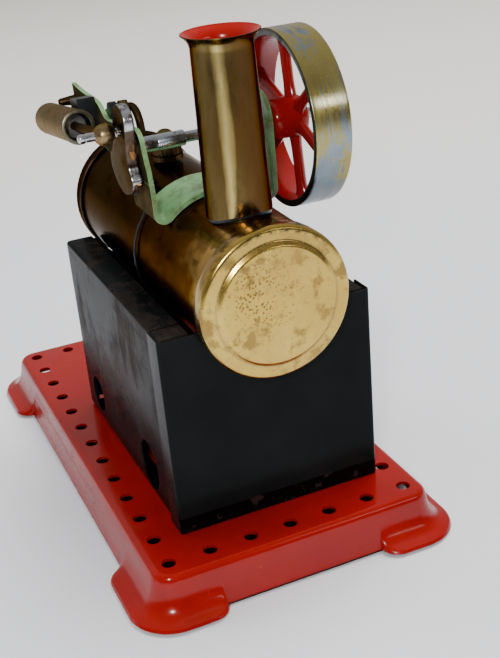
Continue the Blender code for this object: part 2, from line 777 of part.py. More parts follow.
def crank_web():
    half = web_half()
    outline = [(u * MM, v * MM) for u, v in half]
    outline += [(u * MM, -v * MM) for u, v in half[-2:0:-1]]
    depth = WEB_Y[1] - WEB_Y[0]
    edge = 0.45 * MM
    rings = []
    for inset, along in ((edge, 0), (0.12 * MM, edge * 0.35), (0, edge), (0, depth - edge),
                         (0.12 * MM, depth - edge * 0.35), (edge, depth)):
        shrink_u = 1 - inset / (13 * MM)
        shrink_v = 1 - inset / (8 * MM)
        row = []
        for u, v in outline:
            u2, v2 = u * shrink_u, v * shrink_v
            x = SHAFT_X + u2 * math.cos(CRANK_ANGLE) - v2 * math.sin(CRANK_ANGLE)
            z = SHAFT_Z + u2 * math.sin(CRANK_ANGLE) + v2 * math.cos(CRANK_ANGLE)
            row.append((x, WEB_Y[0] + along, z))
        rings.append(row)
    web = add("crank_web", loft(rings), STEEL, 1.0, 0.25)
    px = SHAFT_X + THROW * math.cos(CRANK_ANGLE)
    pz = SHAFT_Z + THROW * math.sin(CRANK_ANGLE)
    near, far = WEB_Y[0] - 1 * MM, WEB_Y[1] + 1 * MM
    cut(web, rod((px, near, pz), (px, WEB_Y[0] + 2.5 * MM, pz), PIN_R + PRESS_FIT, 20))
    cut(web, rod((SHAFT_X, SHAFT_Y[0] - 0.1 * MM, SHAFT_Z), (SHAFT_X, far, SHAFT_Z), SHAFT_R + PRESS_FIT, 28))


def flywheel():
    sx, sz = SHAFT_X, SHAFT_Z
    y0, y1 = WHEEL_Y
    depth = y1 - y0
    inner = WHEEL_R - RIM_T
    rim = [
        (0, inner + 0.2 * MM),
        (0, WHEEL_R),
        (depth, WHEEL_R),
        (depth, inner + 0.2 * MM),
        (depth / 2, inner - 0.6 * MM),
    ]
    wheel = add("flywheel", lathe(rim, (sx, y0, sz), (0, 1, 0), 56), RED, 0.0, 0.35)
    for k in range(SPOKES):
        join(wheel, spoke(SPOKE_PHASE + 2 * math.pi * k / SPOKES))
    h0, h1 = HUB_Y
    hub = [
        (0, 0),
        (0, HUB_R - 1.2 * MM),
        (1.0 * MM, HUB_R - 0.3 * MM),
        (h1 - h0 - 2.4 * MM, HUB_R + 0.5 * MM),
        (h1 - h0, HUB_R - 1.0 * MM),
        (h1 - h0, 0),
    ]
    join(wheel, lathe(hub, (sx, h0, sz), (0, 1, 0), 28))
    cut(wheel, rod((sx, h0 - 1 * MM, sz), (sx, h1 + 1 * MM, sz), SHAFT_R + PRESS_FIT, 28))
    cut(wheel, screw_shape(1.3 * MM + 0.05 * MM, 5.0 * MM, 9 * MM, 16))
    screw = screw_shape(1.3 * MM, 5.1 * MM, 6.0 * MM, 16)
    slot = box((-1 * MM, -0.2 * MM, 5.5 * MM), (1 * MM, 0.2 * MM, 7 * MM))
    bmesh.ops.transform(slot, matrix=screw_place(), verts=slot.verts[:])
    cut(add("flywheel_grub_screw", screw, STEEL, 1.0, 0.35), slot)


def screw_place():
    """Grub screw frame: along a radius midway between two spokes, near the hub's free end."""
    a = SPOKE_PHASE + math.pi / SPOKES
    direction = (math.cos(a), 0, math.sin(a))
    return frame_matrix((SHAFT_X, HUB_Y[0] + 3.4 * MM, SHAFT_Z), direction)


def screw_shape(radius, start, end, segments):
    place = screw_place()
    low = place @ Vector((0, 0, start))
    high = place @ Vector((0, 0, end))
    return rod(low, high, radius, segments)


def spoke(angle):
    """Tapered spoke of rounded diamond section, from inside the hub to inside the rim."""
    radial = Vector((math.cos(angle), 0, math.sin(angle)))
    across = Vector((-math.sin(angle), 0, math.cos(angle)))
    axial = Vector((0, 1, 0))
    centre = Vector((SHAFT_X, SPOKE_Y, SHAFT_Z))
    rings = []
    for reach, wide, thick in ((4.0, 2.9, 2.2), (9.0, 2.0, 1.8), (20.0, 1.9, 1.8), (24.6, 3.2, 2.4)):
        ring_points = []
        for c, s in ((1, 0), (0.5, 0.87), (-0.5, 0.87), (-1, 0), (-0.5, -0.87), (0.5, -0.87)):
            offset = across * (c * wide * MM) + axial * (s * thick * MM)
            ring_points.append(centre + radial * (reach * MM) + offset)
        rings.append(ring_points)
    return loft(rings)


# ---------------------------------------------------------------- cylinder

def crank_pin_point():
    return Vector((SHAFT_X + THROW * math.cos(CRANK_ANGLE), CYL_Y, SHAFT_Z + THROW * math.sin(CRANK_ANGLE)))


def stroke_axis():
    return (crank_pin_point() - Vector((PIVOT_X, CYL_Y, PIVOT_Z))).normalized()


def on_axis(s):
    """Point on the cylinder's axis at distance s from the pivot."""
    return Vector((PIVOT_X, CYL_Y, PIVOT_Z)) + stroke_axis() * s


def cylinder():
    length = CYL_S[1] - CYL_S[0]
    barrel = [
        (0, BORE_R),
        (0, CYL_R),
        (length - 1.4 * MM, CYL_R),
        (length - 1.1 * MM, CYL_R + 0.2 * MM),
        (length - 0.3 * MM, CYL_R + 0.2 * MM),
        (length, CYL_R - 0.1 * MM),
        (length, BORE_R + 0.2 * MM),
        (length - 0.2 * MM, BORE_R),
    ]
    tube = add("cylinder_barrel", lathe(barrel, on_axis(CYL_S[0]), stroke_axis(), 28), BRASS, 1.0, 0.5)
    port = rod(on_axis(-14 * MM), on_axis(-14 * MM) + Vector((0, 8 * MM, 0)), 0.8 * MM, 12)
    cut(tube, port)
    cap = [
        (2.2 * MM, 0),
        (2.2 * MM, BORE_R - 0.05 * MM),
        (-0.05 * MM, BORE_R - 0.05 * MM),
        (-0.05 * MM, CYL_R),
        (-0.5 * MM, CYL_R),
        (-0.9 * MM, CYL_R - 0.4 * MM),
        (-1.0 * MM, 0),
    ]
    add("cylinder_end_cap", lathe(cap, on_axis(CYL_S[0]), stroke_axis(), 28), BRASS, 1.0, 0.5)
    port_block()
    nozzle()


def rocked(x, z):
    """Turn an (x, z) offset from the pivot by the cylinder's rest angle."""
    d = stroke_axis()
    return (PIVOT_X + x * d.x - z * d.z, PIVOT_Z + x * d.z + z * d.x)


def port_block():
    half = PORT_BLOCK[0] / 2
    low, high = -6.0 * MM, PORT_BLOCK[1] - 6.0 * MM
    corner = 0.8 * MM
    outline = [
        (-half + corner, low), (half - corner, low), (half, low + corner), (half, high - corner),
        (half - corner, high), (-half + corner, high), (-half, high - corner), (-half, low + corner),
    ]
    points = [rocked(x, z) for x, z in outline]
    depth = PORT_FACE_Y - (CYL_Y + 3.2 * MM)
    block = add("cylinder_port_block", prism(points, facing(PORT_FACE_Y), depth), DARK_STEEL, 1.0, 0.45)
    cut(block, rod(on_axis(-20 * MM), on_axis(20 * MM), CYL_R + 0.05 * MM, 56))
    hole = rod((PIVOT_X, CYL_Y, PIVOT_Z), (PIVOT_X, PANEL_Y, PIVOT_Z), PIVOT_R + PRESS_FIT, 24)
    cut(block, hole)


def nozzle():
    """Small tapered stub soldered to the top of the barrel near its closed end."""
    x, z = rocked(-15.6 * MM, 5.2 * MM)
    start = (x, PORT_FACE_Y - 0.5 * MM, z)
    profile = [(0, 0), (0, 1.7 * MM), (2.4 * MM, 1.5 * MM), (5.6 * MM, 1.15 * MM), (6.2 * MM, 0.8 * MM),
               (6.3 * MM, 0)]
    stub = add("cylinder_nozzle", lathe(profile, start, (0, -1, 0), 20), BRASS, 1.0, 0.5)
    cut(stub, rod(on_axis(CYL_S[0] - 1 * MM), on_axis(20 * MM), CYL_R + 0.05 * MM, 56))


def pivot_parts():
    head_y = CYL_Y + CYL_R + 0.15 * MM
    pin = rod((PIVOT_X, head_y, PIVOT_Z), (PIVOT_X, PIVOT_END_Y, PIVOT_Z), PIVOT_R, 20, 0.15 * MM)
    add("cylinder_pivot_pin", pin, STEEL, 1.0, 0.3)
    nut_y = (PIVOT_END_Y - 3.0 * MM, PIVOT_END_Y - 0.8 * MM)
    points = []
    for k in range(6):
        a = math.radians(60 * k + 15)
        points.append((PIVOT_X + 2.9 * MM * math.cos(a), PIVOT_Z + 2.9 * MM * math.sin(a)))
    nut = add("pivot_nut", prism(points, facing(nut_y[1]), nut_y[1] - nut_y[0]), STEEL, 1.0, 0.4)
    cut(nut, rod((PIVOT_X, nut_y[0] - MM, PIVOT_Z), (PIVOT_X, nut_y[1] + MM, PIVOT_Z), PIVOT_R + PRESS_FIT, 24))
    coil = []
    y_start = PANEL_Y + FRAME_T / 2 + 0.4 * MM
    y_end = nut_y[0] - 0.4 * MM
    turns = 4.5
    steps = int(turns * 10)
    for k in range(steps + 1):
        a = 2 * math.pi * turns * k / steps
        y = y_start + (y_end - y_start) * k / steps
        coil.append((PIVOT_X + 2.15 * MM * math.cos(a), y, PIVOT_Z + 2.15 * MM * math.sin(a)))
    add("pivot_spring", sweep(coil, 0.3 * MM, 5), STEEL, 1.0, 0.35)


def piston_parts():
    s0, s1 = PISTON_S
    head = [
        (0, 0), (0, BORE_R - 0.3 * MM), (0.25 * MM, BORE_R - 0.06 * MM),
        (s1 - s0 - 0.25 * MM, BORE_R - 0.06 * MM), (s1 - s0, BORE_R - 0.3 * MM), (s1 - s0, 0),
    ]
    piston = add("piston", lathe(head, on_axis(s0), stroke_axis(), 28), STEEL, 1.0, 0.35)
    cut(piston, rod(on_axis(s1 - 4 * MM), on_axis(s1 + MM), ROD_R + PRESS_FIT, 24))
    reach = (crank_pin_point() - on_axis(0)).length
    shank = rod(on_axis(s1 - 3.9 * MM), on_axis(reach - BALL_R + 0.9 * MM), ROD_R, 24, 0.1 * MM)
    add("piston_rod", shank, BRASS, 1.0, 0.45)
    big_end(reach)


def big_end(reach):
    centre = crank_pin_point()
    profile = [(-BALL_R, 0)]
    for k in range(1, 9):
        a = math.pi * k / 9
        profile.append((-BALL_R * math.cos(a), BALL_R * math.sin(a)))
    profile.append((BALL_R, 0))
    ball = add("big_end_ball", lathe(profile, centre, (0, 1, 0), 22), BRASS, 1.0, 0.35)
    socket = rod(on_axis(reach - BALL_R - 1 * MM), on_axis(reach - BALL_R + 1.0 * MM), ROD_R + PRESS_FIT, 24)
    cut(ball, socket)
    pin_low, pin_high = BALL_PIN_Y
    hole = rod((centre.x, centre.y - 5 * MM, centre.z), (centre.x, pin_high + 0.05 * MM, centre.z),
               PIN_R + PRESS_FIT, 20)
    cut(ball, hole)
    add("big_end_pin", rod((centre.x, pin_low, centre.z), (centre.x, pin_high, centre.z), PIN_R, 20, 0.3 * MM),
        STEEL, 1.0, 0.2)


# ---------------------------------------------------------------- steam fittings

def steam_fittings():
    x, z = UNION_XZ
    face = PANEL_Y + FRAME_T / 2 + 0.1 * MM
    body = [
        (0, 0), (0, 2.3 * MM), (2.4 * MM, 2.3 * MM), (2.4 * MM, 1.7 * MM), (3.2 * MM, 1.7 * MM), (3.2 * MM, 0),
    ]
    add("steam_union", lathe(body, (x, face, z), (0, 1, 0), 24), DARK_STEEL, 1.0, 0.4)
    points = []
    for k in range(6):
        a = math.radians(60 * k + 10)
        points.append((x + 2.5 * MM * math.cos(a), z + 2.5 * MM * math.sin(a)))
    nut_low = face + 3.3 * MM
    nut = add("steam_union_nut", prism(points, facing(nut_low + 2.6 * MM), 2.6 * MM), BRASS, 1.0, 0.45)
    cut(nut, rod((x, nut_low - MM, z), (x, nut_low + 4 * MM, z), PIPE_R + 0.15 * MM, 24))
    steam_pipe(x, nut_low + 0.4 * MM, z)


def steam_pipe(x, y, z):
    """Pipe from the union, over and down into the boiler."""
    end_x, end_y = PIPE_SEAT
    surface = BOILER_Z + math.sqrt(BOILER_R ** 2 - (end_y - BOILER_Y) ** 2)
    control = [
        Vector((x, y, z)),
        Vector((x, y + 1.2 * MM, z)),
        Vector((x, y + 2.4 * MM, z)),
        Vector((x + 0.9 * MM, y + 3.4 * MM, z - 0.1 * MM)),
        Vector((x + 2.6 * MM, y + 3.9 * MM, z - 1.2 * MM)),
        Vector((x + 4.2 * MM, y + 4.1 * MM, z - 3.6 * MM)),
        Vector((x + 5.3 * MM, y + 4.1 * MM, z - 7.2 * MM)),
        Vector((end_x, y + 3.9 * MM, z - 12.0 * MM)),
        Vector((end_x, end_y, surface + 4 * MM)),
        Vector((end_x, end_y, surface - 2 * MM)),
    ]
    path = smooth_curve(control, 4)
    add("steam_pipe", sweep(path, PIPE_R, 10), DARK_BRASS, 1.0, 0.45)
    collar = [
        (-1.0 * MM, PIPE_R + 0.05 * MM), (-1.0 * MM, 2.9 * MM), (1.6 * MM, 2.9 * MM), (2.2 * MM, 2.3 * MM),
        (2.2 * MM, PIPE_R + 0.05 * MM),
    ]
    seat = add("steam_pipe_collar", lathe(collar, (end_x, end_y, surface), (0, 0, 1), 20), BRASS, 1.0, 0.45)
    cut(seat, boiler_cutter(BOILER_R + 0.1 * MM, end_x - 8 * MM, end_x + 8 * MM, 96))


def smooth_curve(control, steps):
    """Catmull-Rom curve through the control points."""
    out = []
    last = len(control) - 1
    for i in range(last):
        p0 = control[max(i - 1, 0)]
        p1 = control[i]
        p2 = control[i + 1]
        p3 = control[min(i + 2, last)]
        for k in range(steps):
            t = k / steps
            out.append(0.5 * (2 * p1 + (p2 - p0) * t + (2 * p0 - 5 * p1 + 4 * p2 - p3) * t ** 2
                              + (3 * p1 - p0 - 3 * p2 + p3) * t ** 3))
    out.append(control[last])
    return out


def safety_valve():
    x, y = VALVE_X, BOILER_Y
    top = BOILER_Z + BOILER_R
    bush = [
        (-2.6 * MM, 2.2 * MM), (-2.6 * MM, 3.1 * MM), (0.5 * MM, 3.1 * MM), (0.5 * MM, 5.2 * MM),
        (2.2 * MM, 5.2 * MM), (2.2 * MM, 2.2 * MM),
    ]
    add("boiler_bush", lathe(bush, (x, y, top), (0, 0, 1), 24), DARK_BRASS, 1.0, 0.45)
    body = [
        (-3.6 * MM, 0.95 * MM), (-3.6 * MM, 2.1 * MM), (2.35 * MM, 2.1 * MM), (2.35 * MM, 4.9 * MM),
        (4.6 * MM, 4.9 * MM), (5.1 * MM, 4.4 * MM), (5.1 * MM, 0.95 * MM),
    ]
    add("safety_valve_body", lathe(body, (x, y, top), (0, 0, 1), 24), DARK_BRASS, 1.0, 0.45)
    stem = rod((x, y, top - 9.8 * MM), (x, y, top + 7.4 * MM), 0.7 * MM, 16, 0.1 * MM)
    add("safety_valve_stem", stem, STEEL, 1.0, 0.3)
    dome = [
        (5.25 * MM, 0.75 * MM), (5.25 * MM, 3.3 * MM), (6.6 * MM, 3.3 * MM), (8.2 * MM, 2.9 * MM),
        (9.4 * MM, 2.0 * MM), (10.0 * MM, 0.9 * MM), (10.1 * MM, 0),
        (7.5 * MM, 0), (7.5 * MM, 0.75 * MM),
    ]
    add("safety_valve_cap", lathe(dome, (x, y, top), (0, 0, 1), 24), BRASS, 1.0, 0.4)
    disc = ring((x, y, top - 9.6 * MM), (x, y, top - 8.6 * MM), 0.75 * MM, 2.0 * MM, 20)
    add("safety_valve_collar", disc, STEEL, 1.0, 0.4)
    coil = []
    turns = 4
    steps = turns * 9
    for k in range(steps + 1):
        a = 2 * math.pi * turns * k / steps
        z = top - 8.2 * MM + (4.1 * MM) * k / steps
        coil.append((x + 1.45 * MM * math.cos(a), y + 1.45 * MM * math.sin(a), z))
    add("safety_valve_spring", sweep(coil, 0.22 * MM, 5), STEEL, 1.0, 0.4)


# ---------------------------------------------------------------- burner

def burner():
    mid = (BOX_Y[0] + BOX_Y[1]) / 2
    x0, x1 = TRAY_X
    low = BASE_H + 0.4 * MM
    t = SHEET_T
    tray = add("burner_tray", box((x0, mid - TRAY_HALF_Y, low), (x1, mid + TRAY_HALF_Y, low + TRAY_H)),
               DARK_STEEL, 0.9, 0.5)
    cut(tray, box((x0 + t, mid - TRAY_HALF_Y + t, low + t), (x1 - t, mid + TRAY_HALF_Y - t, low + 2 * TRAY_H)))
    insert = add(
        "burner_fuel_cup",
        box((x0 + 12 * MM, mid - 12 * MM, low + t + 0.1 * MM), (x1 - 6 * MM, mid + 12 * MM, low + 5 * MM)),
        DARK_STEEL, 0.9, 0.6,
    )
    cut(insert, box((x0 + 13 * MM, mid - 11 * MM, low + 2 * t), (x1 - 7 * MM, mid + 11 * MM, low + 9 * MM)))
    grip = 9.0 * MM
    out = x0 - 11 * MM
    z = low + 4.8 * MM
    control = [
        Vector((x0 - 0.1 * MM, mid - grip, z)),
        Vector((x0 - 4 * MM, mid - grip, z)),
        Vector((x0 - 9 * MM, mid - grip + 0.6 * MM, z)),
        Vector((out, mid - grip + 3 * MM, z)),
        Vector((out, mid + grip - 3 * MM, z)),
        Vector((x0 - 9 * MM, mid + grip - 0.6 * MM, z)),
        Vector((x0 - 4 * MM, mid + grip, z)),
        Vector((x0 - 0.1 * MM, mid + grip, z)),
    ]
    add("burner_handle", sweep(smooth_curve(control, 3), 0.9 * MM, 8), DARK_STEEL, 1.0, 0.45)


# ---------------------------------------------------------------- joints

def carry(name, point, pieces):
    """Parent the pieces that move together to an empty on their joint's axis."""
    empty = bpy.data.objects.new(name, None)
    empty.location = point
    empty.empty_display_size = 5 * MM
    bpy.context.scene.collection.objects.link(empty)
    for piece in pieces:
        obj = bpy.data.objects[piece]
        obj.parent = empty
        obj.matrix_parent_inverse = Matrix.Translation(-Vector(point))


def joints():
    """Crank and cylinder turn about Y; the piston, burner and valve slide."""
    carry("crank_axis", (SHAFT_X, 0, SHAFT_Z), (
        "crankshaft", "shaft_sleeve", "crank_web", "crank_pin", "flywheel", "flywheel_grub_screw",
    ))
    carry("cylinder_axis", (PIVOT_X, PANEL_Y, PIVOT_Z), (
        "cylinder_barrel", "cylinder_end_cap", "cylinder_port_block", "cylinder_nozzle",
        "cylinder_pivot_pin", "pivot_nut", "pivot_spring",
    ))
    carry("piston_axis", on_axis(0), ("piston", "piston_rod", "big_end_ball", "big_end_pin"))
    carry("valve_axis", (VALVE_X, BOILER_Y, BOILER_Z + BOILER_R), (
        "safety_valve_stem", "safety_valve_cap", "safety_valve_collar",
    ))
    carry("burner_axis", (TRAY_X[0], (BOX_Y[0] + BOX_Y[1]) / 2, BASE_H), (
        "burner_tray", "burner_fuel_cup", "burner_handle",
    ))


clear_scene()
base_plate()
firebox_ends()
firebox_walls()
boiler()
chimney()
engine_frame()
frame_wire()
bearing_bush("bearing_bush_left", PANEL_Y, -1)
bearing_bush("bearing_bush_right", LEG_RIGHT_Y, 1)
crank_parts()
flywheel()
cylinder()
pivot_parts()
piston_parts()
steam_fittings()
safety_valve()
burner()
joints()
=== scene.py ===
"""Looks for the model steam engine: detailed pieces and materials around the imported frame."""

from math import atan2, copysign, cos, hypot, pi, radians, sin, sqrt, tan

import bmesh
import bpy
from mathutils import Matrix, Vector


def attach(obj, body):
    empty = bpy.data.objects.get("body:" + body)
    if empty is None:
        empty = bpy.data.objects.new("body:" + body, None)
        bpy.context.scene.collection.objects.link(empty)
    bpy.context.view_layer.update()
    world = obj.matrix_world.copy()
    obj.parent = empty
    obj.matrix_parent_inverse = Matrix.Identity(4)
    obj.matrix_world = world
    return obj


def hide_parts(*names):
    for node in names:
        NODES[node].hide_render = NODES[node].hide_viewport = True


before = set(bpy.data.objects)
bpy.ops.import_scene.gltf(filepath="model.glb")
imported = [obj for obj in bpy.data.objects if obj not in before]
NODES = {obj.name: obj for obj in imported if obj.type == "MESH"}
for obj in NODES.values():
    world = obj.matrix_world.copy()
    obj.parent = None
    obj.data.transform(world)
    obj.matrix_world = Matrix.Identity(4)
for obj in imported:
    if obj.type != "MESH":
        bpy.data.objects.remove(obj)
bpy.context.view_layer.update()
MM = 0.001

# Shared sizes

BASE_H = 14
LIP_HALF = (90.6, 52)
LIP_CORNER_R = 13.5
TRAY_T = 0.9
HOLE_PITCH = 12.7
HOLE_R = 2.1
FOOT_START = (60.5, 30.5)
FOOT_RAMP = 5.5
BOX_X = (-29, 66)
BOX_Y = (-30.3, 34.9)
BOX_TOP = 76.5
SHEET_T = 0.6
WRAP_GAP = 0.12
WRAP_LEN = 8.5
AIR_HOLES = ((39.3, 8), (-14.5, 6.2))
AIR_HOLE_Z = BASE_H + 9.9
BOILER_Y, BOILER_Z, BOILER_R = 1.7, 83.6, 21.1
VALVE_X = -3.5
TUBE_X = (-42.2, 74.2)
CAP_X = (76.8, -44.8)
CAP_R = 22.1
CAP_STEP_R = 17.3
CHIMNEY = (54.4, 1.7)
CHIMNEY_TOP = 153.1
CHIMNEY_LEAN = radians(0.9)
FRAME_X = (21.3, 38.3)
FRAME_T = 1.4
LEG_LEFT_Y, PANEL_Y, LEG_RIGHT_Y = -17.3, -17.7, 20.2
FOLD_R = 2.6
LEG_BEND_Z = (106, 117)
RIGHT_TOP_Z = 122
SHAFT = (30.3, 120.5)
SHAFT_R = 1.6
CRANK_ANGLE = radians(77)
THROW = 5.5
PIN_AT = (SHAFT[0] + THROW * cos(CRANK_ANGLE), SHAFT[1] + THROW * sin(CRANK_ANGLE))
WEB_Y = (-23.1, -19.9)
WHEEL_Y = (25.4, 36.7)
WHEEL_R = 26.3
SPOKE_PHASE = radians(98)
SPOKE_Y = 31
CYL_Y = -27.3
PIVOT = (-9.5, 120.5)
PORTS = ((2.4, 120.7), (-24, 120.5))
UNION = (2.4, 125.3)
PIPE_SEAT = (8, -9.5)
CYL_R, BORE_R = 5.1, 3.9
CYL_S = (-21.6, 14.2)


# Mesh tools

def add_object(name, data):
    obj = bpy.data.objects.new(name, data)
    bpy.context.scene.collection.objects.link(obj)
    return obj


def mesh_from(bm, name):
    """Write the bmesh out as a mesh and free it."""
    mesh = bpy.data.meshes.new(name)
    bm.to_mesh(mesh)
    bm.free()
    return mesh


def finish_mesh(name, bm, mats, slot, body="engine_body", replaces=None,
                angle=35, bevel=0, segments=2, bevel_angle=40):
    """Turn a bmesh in millimetres into a riding piece that stands for the node called slot."""
    bmesh.ops.recalc_face_normals(bm, faces=bm.faces[:])
    mesh = mesh_from(bm, name)
    mesh.transform(Matrix.Scale(MM, 4))
    for mat in mats:
        mesh.materials.append(mat)
    mesh.shade_smooth()
    mesh.set_sharp_from_angle(angle=radians(angle))
    obj = add_object(name, mesh)
    if bevel:
        mod = round_edges(obj, bevel, segments, bevel_angle)
        mod.harden_normals = True
        mod.miter_outer = "MITER_ARC"
    replaces = [slot] if replaces is None else replaces
    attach(obj, body)
    if replaces:
        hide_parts(*replaces)
    return obj


def round_edges(obj, width, segments, angle):
    mod = obj.modifiers.new("edge", "BEVEL")
    mod.width = width * MM
    mod.segments = segments
    mod.limit_method = "ANGLE"
    mod.angle_limit = radians(angle)
    return mod


def boolean(bm, other, operation):
    """EXACT Boolean between two bmeshes; returns a new bmesh."""
    objs = []
    for source in (bm, other):
        bmesh.ops.recalc_face_normals(source, faces=source.faces[:])
        objs.append(add_object("operand", mesh_from(source, "operand")))
    mod = objs[0].modifiers.new("b", "BOOLEAN")
    mod.solver = "EXACT"
    mod.operation = operation
    mod.object = objs[1]
    graph = bpy.context.evaluated_depsgraph_get()
    result = bpy.data.meshes.new_from_object(objs[0].evaluated_get(graph))
    out = bmesh.new()
    out.from_mesh(result)
    for obj in objs:
        mesh = obj.data
        bpy.data.objects.remove(obj)
        bpy.data.meshes.remove(mesh)
    bpy.data.meshes.remove(result)
    return out


def cut(bm, other):
    return boolean(bm, other, "DIFFERENCE")


def merge(target, source):
    mesh = mesh_from(source, "merge")
    target.from_mesh(mesh)
    bpy.data.meshes.remove(mesh)
    return target


def frame_matrix(origin, axis):
    turn = Vector(axis).normalized().to_track_quat("Z", "Y").to_matrix().to_4x4()
    return Matrix.Translation(Vector(origin)) @ turn


def loft(rings, caps=True, closed=False):
    bm = bmesh.new()
    rows = [[bm.verts.new(p) for p in ring] for ring in rings]
    count = len(rows[0])
    pairs = list(zip(rows, rows[1:]))
    if closed:
        pairs.append((rows[-1], rows[0]))
    for low, high in pairs:
        for i in range(count):
            j = (i + 1) % count
            bm.faces.new((low[i], low[j], high[j], high[i]))
    if caps and not closed:
        bm.faces.new(rows[0][::-1])
        bm.faces.new(rows[-1])
    return bm


def lathe(profile, origin, axis, segments=64):
    """Revolve (along, radius) points about the axis."""
    place = frame_matrix(origin, axis)
    bm = bmesh.new()
    rows = []
    for along, radius in profile:
        if radius < 1e-6:
            rows.append([bm.verts.new(place @ Vector((0, 0, along)))])
            continue
        ring = []
        for i in range(segments):
            a = 2 * pi * i / segments
            ring.append(bm.verts.new(place @ Vector((radius * cos(a), radius * sin(a), along))))
        rows.append(ring)
    pairs = list(zip(rows, rows[1:]))
    if len(rows[0]) > 1 and len(rows[-1]) > 1:
        pairs.append((rows[-1], rows[0]))
    for low, high in pairs:
        for i in range(segments):
            j = (i + 1) % segments
            quad = [low[i % len(low)], low[j % len(low)], high[j % len(high)], high[i % len(high)]]
            corners = list(dict.fromkeys(quad))
            if len(corners) > 2:
                bm.faces.new(corners)
    return bm


def rod(start, end, radius, segments=40, chamfer=0):
    length = (Vector(end) - Vector(start)).length
    if chamfer:
        turns = [pi / 2 * k / 4 for k in range(5)]
        profile = [(0, 0)] + [(chamfer * (1 - cos(a)), radius - chamfer * (1 - sin(a))) for a in turns]
        profile += [(length - a, r) for a, r in profile[::-1]]
    else:
        profile = [(0, 0), (0, radius), (length, radius), (length, 0)]
    return lathe(profile, start, Vector(end) - Vector(start), segments)


def sweep(path, radius, sides=20):
    path = [Vector(p) for p in path]
    rings = []
    side = None
    for i, point in enumerate(path):
        tangent = (path[min(i + 1, len(path) - 1)] - path[max(i - 1, 0)]).normalized()
        side = tangent.orthogonal().normalized() if side is None else side
        side = (side - tangent * side.dot(tangent)).normalized()
        up = tangent.cross(side)
        rings.append([
            point + radius * (side * cos(2 * pi * k / sides) + up * sin(2 * pi * k / sides))
            for k in range(sides)
        ])
    return loft(rings)


def prism(outline, place, depth):
    low = [place @ Vector((u, v, 0)) for u, v in outline]
    high = [place @ Vector((u, v, depth)) for u, v in outline]
    return loft([low, high])


def facing(y):
    return Matrix.Translation((0, y, 0)) @ Matrix.Rotation(pi / 2, 4, "X")


def along_x(x):
    return Matrix(((0, 0, 1, x), (1, 0, 0, 0), (0, 1, 0, 0), (0, 0, 0, 1)))


def box(low, high):
    outline = ((low[0], low[1]), (high[0], low[1]), (high[0], high[1]), (low[0], high[1]))
    return prism(outline, Matrix.Translation((0, 0, low[2])), high[2] - low[2])


def arc(center, radius, start, end, steps):
    return [
        (center[0] + radius * cos(start + (end - start) * i / steps),
         center[1] + radius * sin(start + (end - start) * i / steps))
        for i in range(steps + 1)
    ]


def fillet(points, radii, steps=8):
    out = [Vector(points[0])]
    for i in range(1, len(points) - 1):
        corner = Vector(points[i])
        back = (Vector(points[i - 1]) - corner).normalized()
        ahead = (Vector(points[i + 1]) - corner).normalized()
        radius = radii[i - 1]
        if radius <= 0:
            out.append(corner)
            continue
        half = back.angle(ahead) / 2
        reach = radius / tan(half)
        middle = corner + (back + ahead).normalized() * (radius / sin(half))
        first = corner + back * reach - middle
        last = corner + ahead * reach - middle
        turn = first.angle_signed(last)
        for k in range(steps + 1):
            a = -turn * k / steps
            out.append(middle + Vector((
                first.x * cos(a) - first.y * sin(a),
                first.x * sin(a) + first.y * cos(a),
            )))
    out.append(Vector(points[-1]))
    return out


def strip(path, thickness):
    left, right = [], []
    for i, point in enumerate(path):
        before = path[max(i - 1, 0)]
        after = path[min(i + 1, len(path) - 1)]
        into = (point - before).normalized() if i else (after - point).normalized()
        away = (after - point).normalized() if i < len(path) - 1 else into
        normal_in = Vector((-into.y, into.x))
        bisector = (normal_in + Vector((-away.y, away.x))).normalized()
        reach = thickness / 2 / max(bisector.dot(normal_in), 0.3)
        left.append(point + bisector * reach)
        right.append(point - bisector * reach)
    return [tuple(p) for p in left + right[::-1]]


def smooth_outline(points, steps=5, closed=True):
    """Catmull-Rom through 2D or 3D points."""
    pts = [Vector(p) for p in points]
    n = len(pts)
    out = []
    for i in range(n if closed else n - 1):
        if closed:
            p0, p1, p2, p3 = pts[i - 1], pts[i], pts[(i + 1) % n], pts[(i + 2) % n]
        else:
            p0, p1, p2, p3 = pts[max(i - 1, 0)], pts[i], pts[i + 1], pts[min(i + 2, n - 1)]
        for k in range(steps):
            t = k / steps
            out.append(0.5 * (2 * p1 + (p2 - p0) * t + (2 * p0 - 5 * p1 + 4 * p2 - p3) * t ** 2
                              + (3 * p1 - p0 - 3 * p2 + p3) * t ** 3))
    if not closed:
        out.append(pts[-1])
    return out


def assign(obj, rule):
    """Give each face the material index rule(centre, normal) in millimetres."""
    for poly in obj.data.polygons:
        poly.material_index = rule(poly.center / MM, poly.normal)


# Material tools

def operator(name, flip=False):
    def apply(self, other=0):
        a, b = (other, self) if flip else (self, other)
        return self.graph.math(name, a, b)

    return apply


class Value:
    """A node's output. Each operator on it adds one Math node."""

    __add__ = operator("ADD")
    __sub__ = operator("SUBTRACT")
    __rsub__ = operator("SUBTRACT", flip=True)
    __mul__ = operator("MULTIPLY")
    __truediv__ = operator("DIVIDE")
    __pow__ = operator("POWER")
    __lt__ = operator("LESS_THAN")
    __abs__ = operator("ABSOLUTE")

    def __init__(self, graph, socket):
        self.graph = graph
        self.socket = socket

    def clamped(self):
        self.socket.node.use_clamp = True
        return self


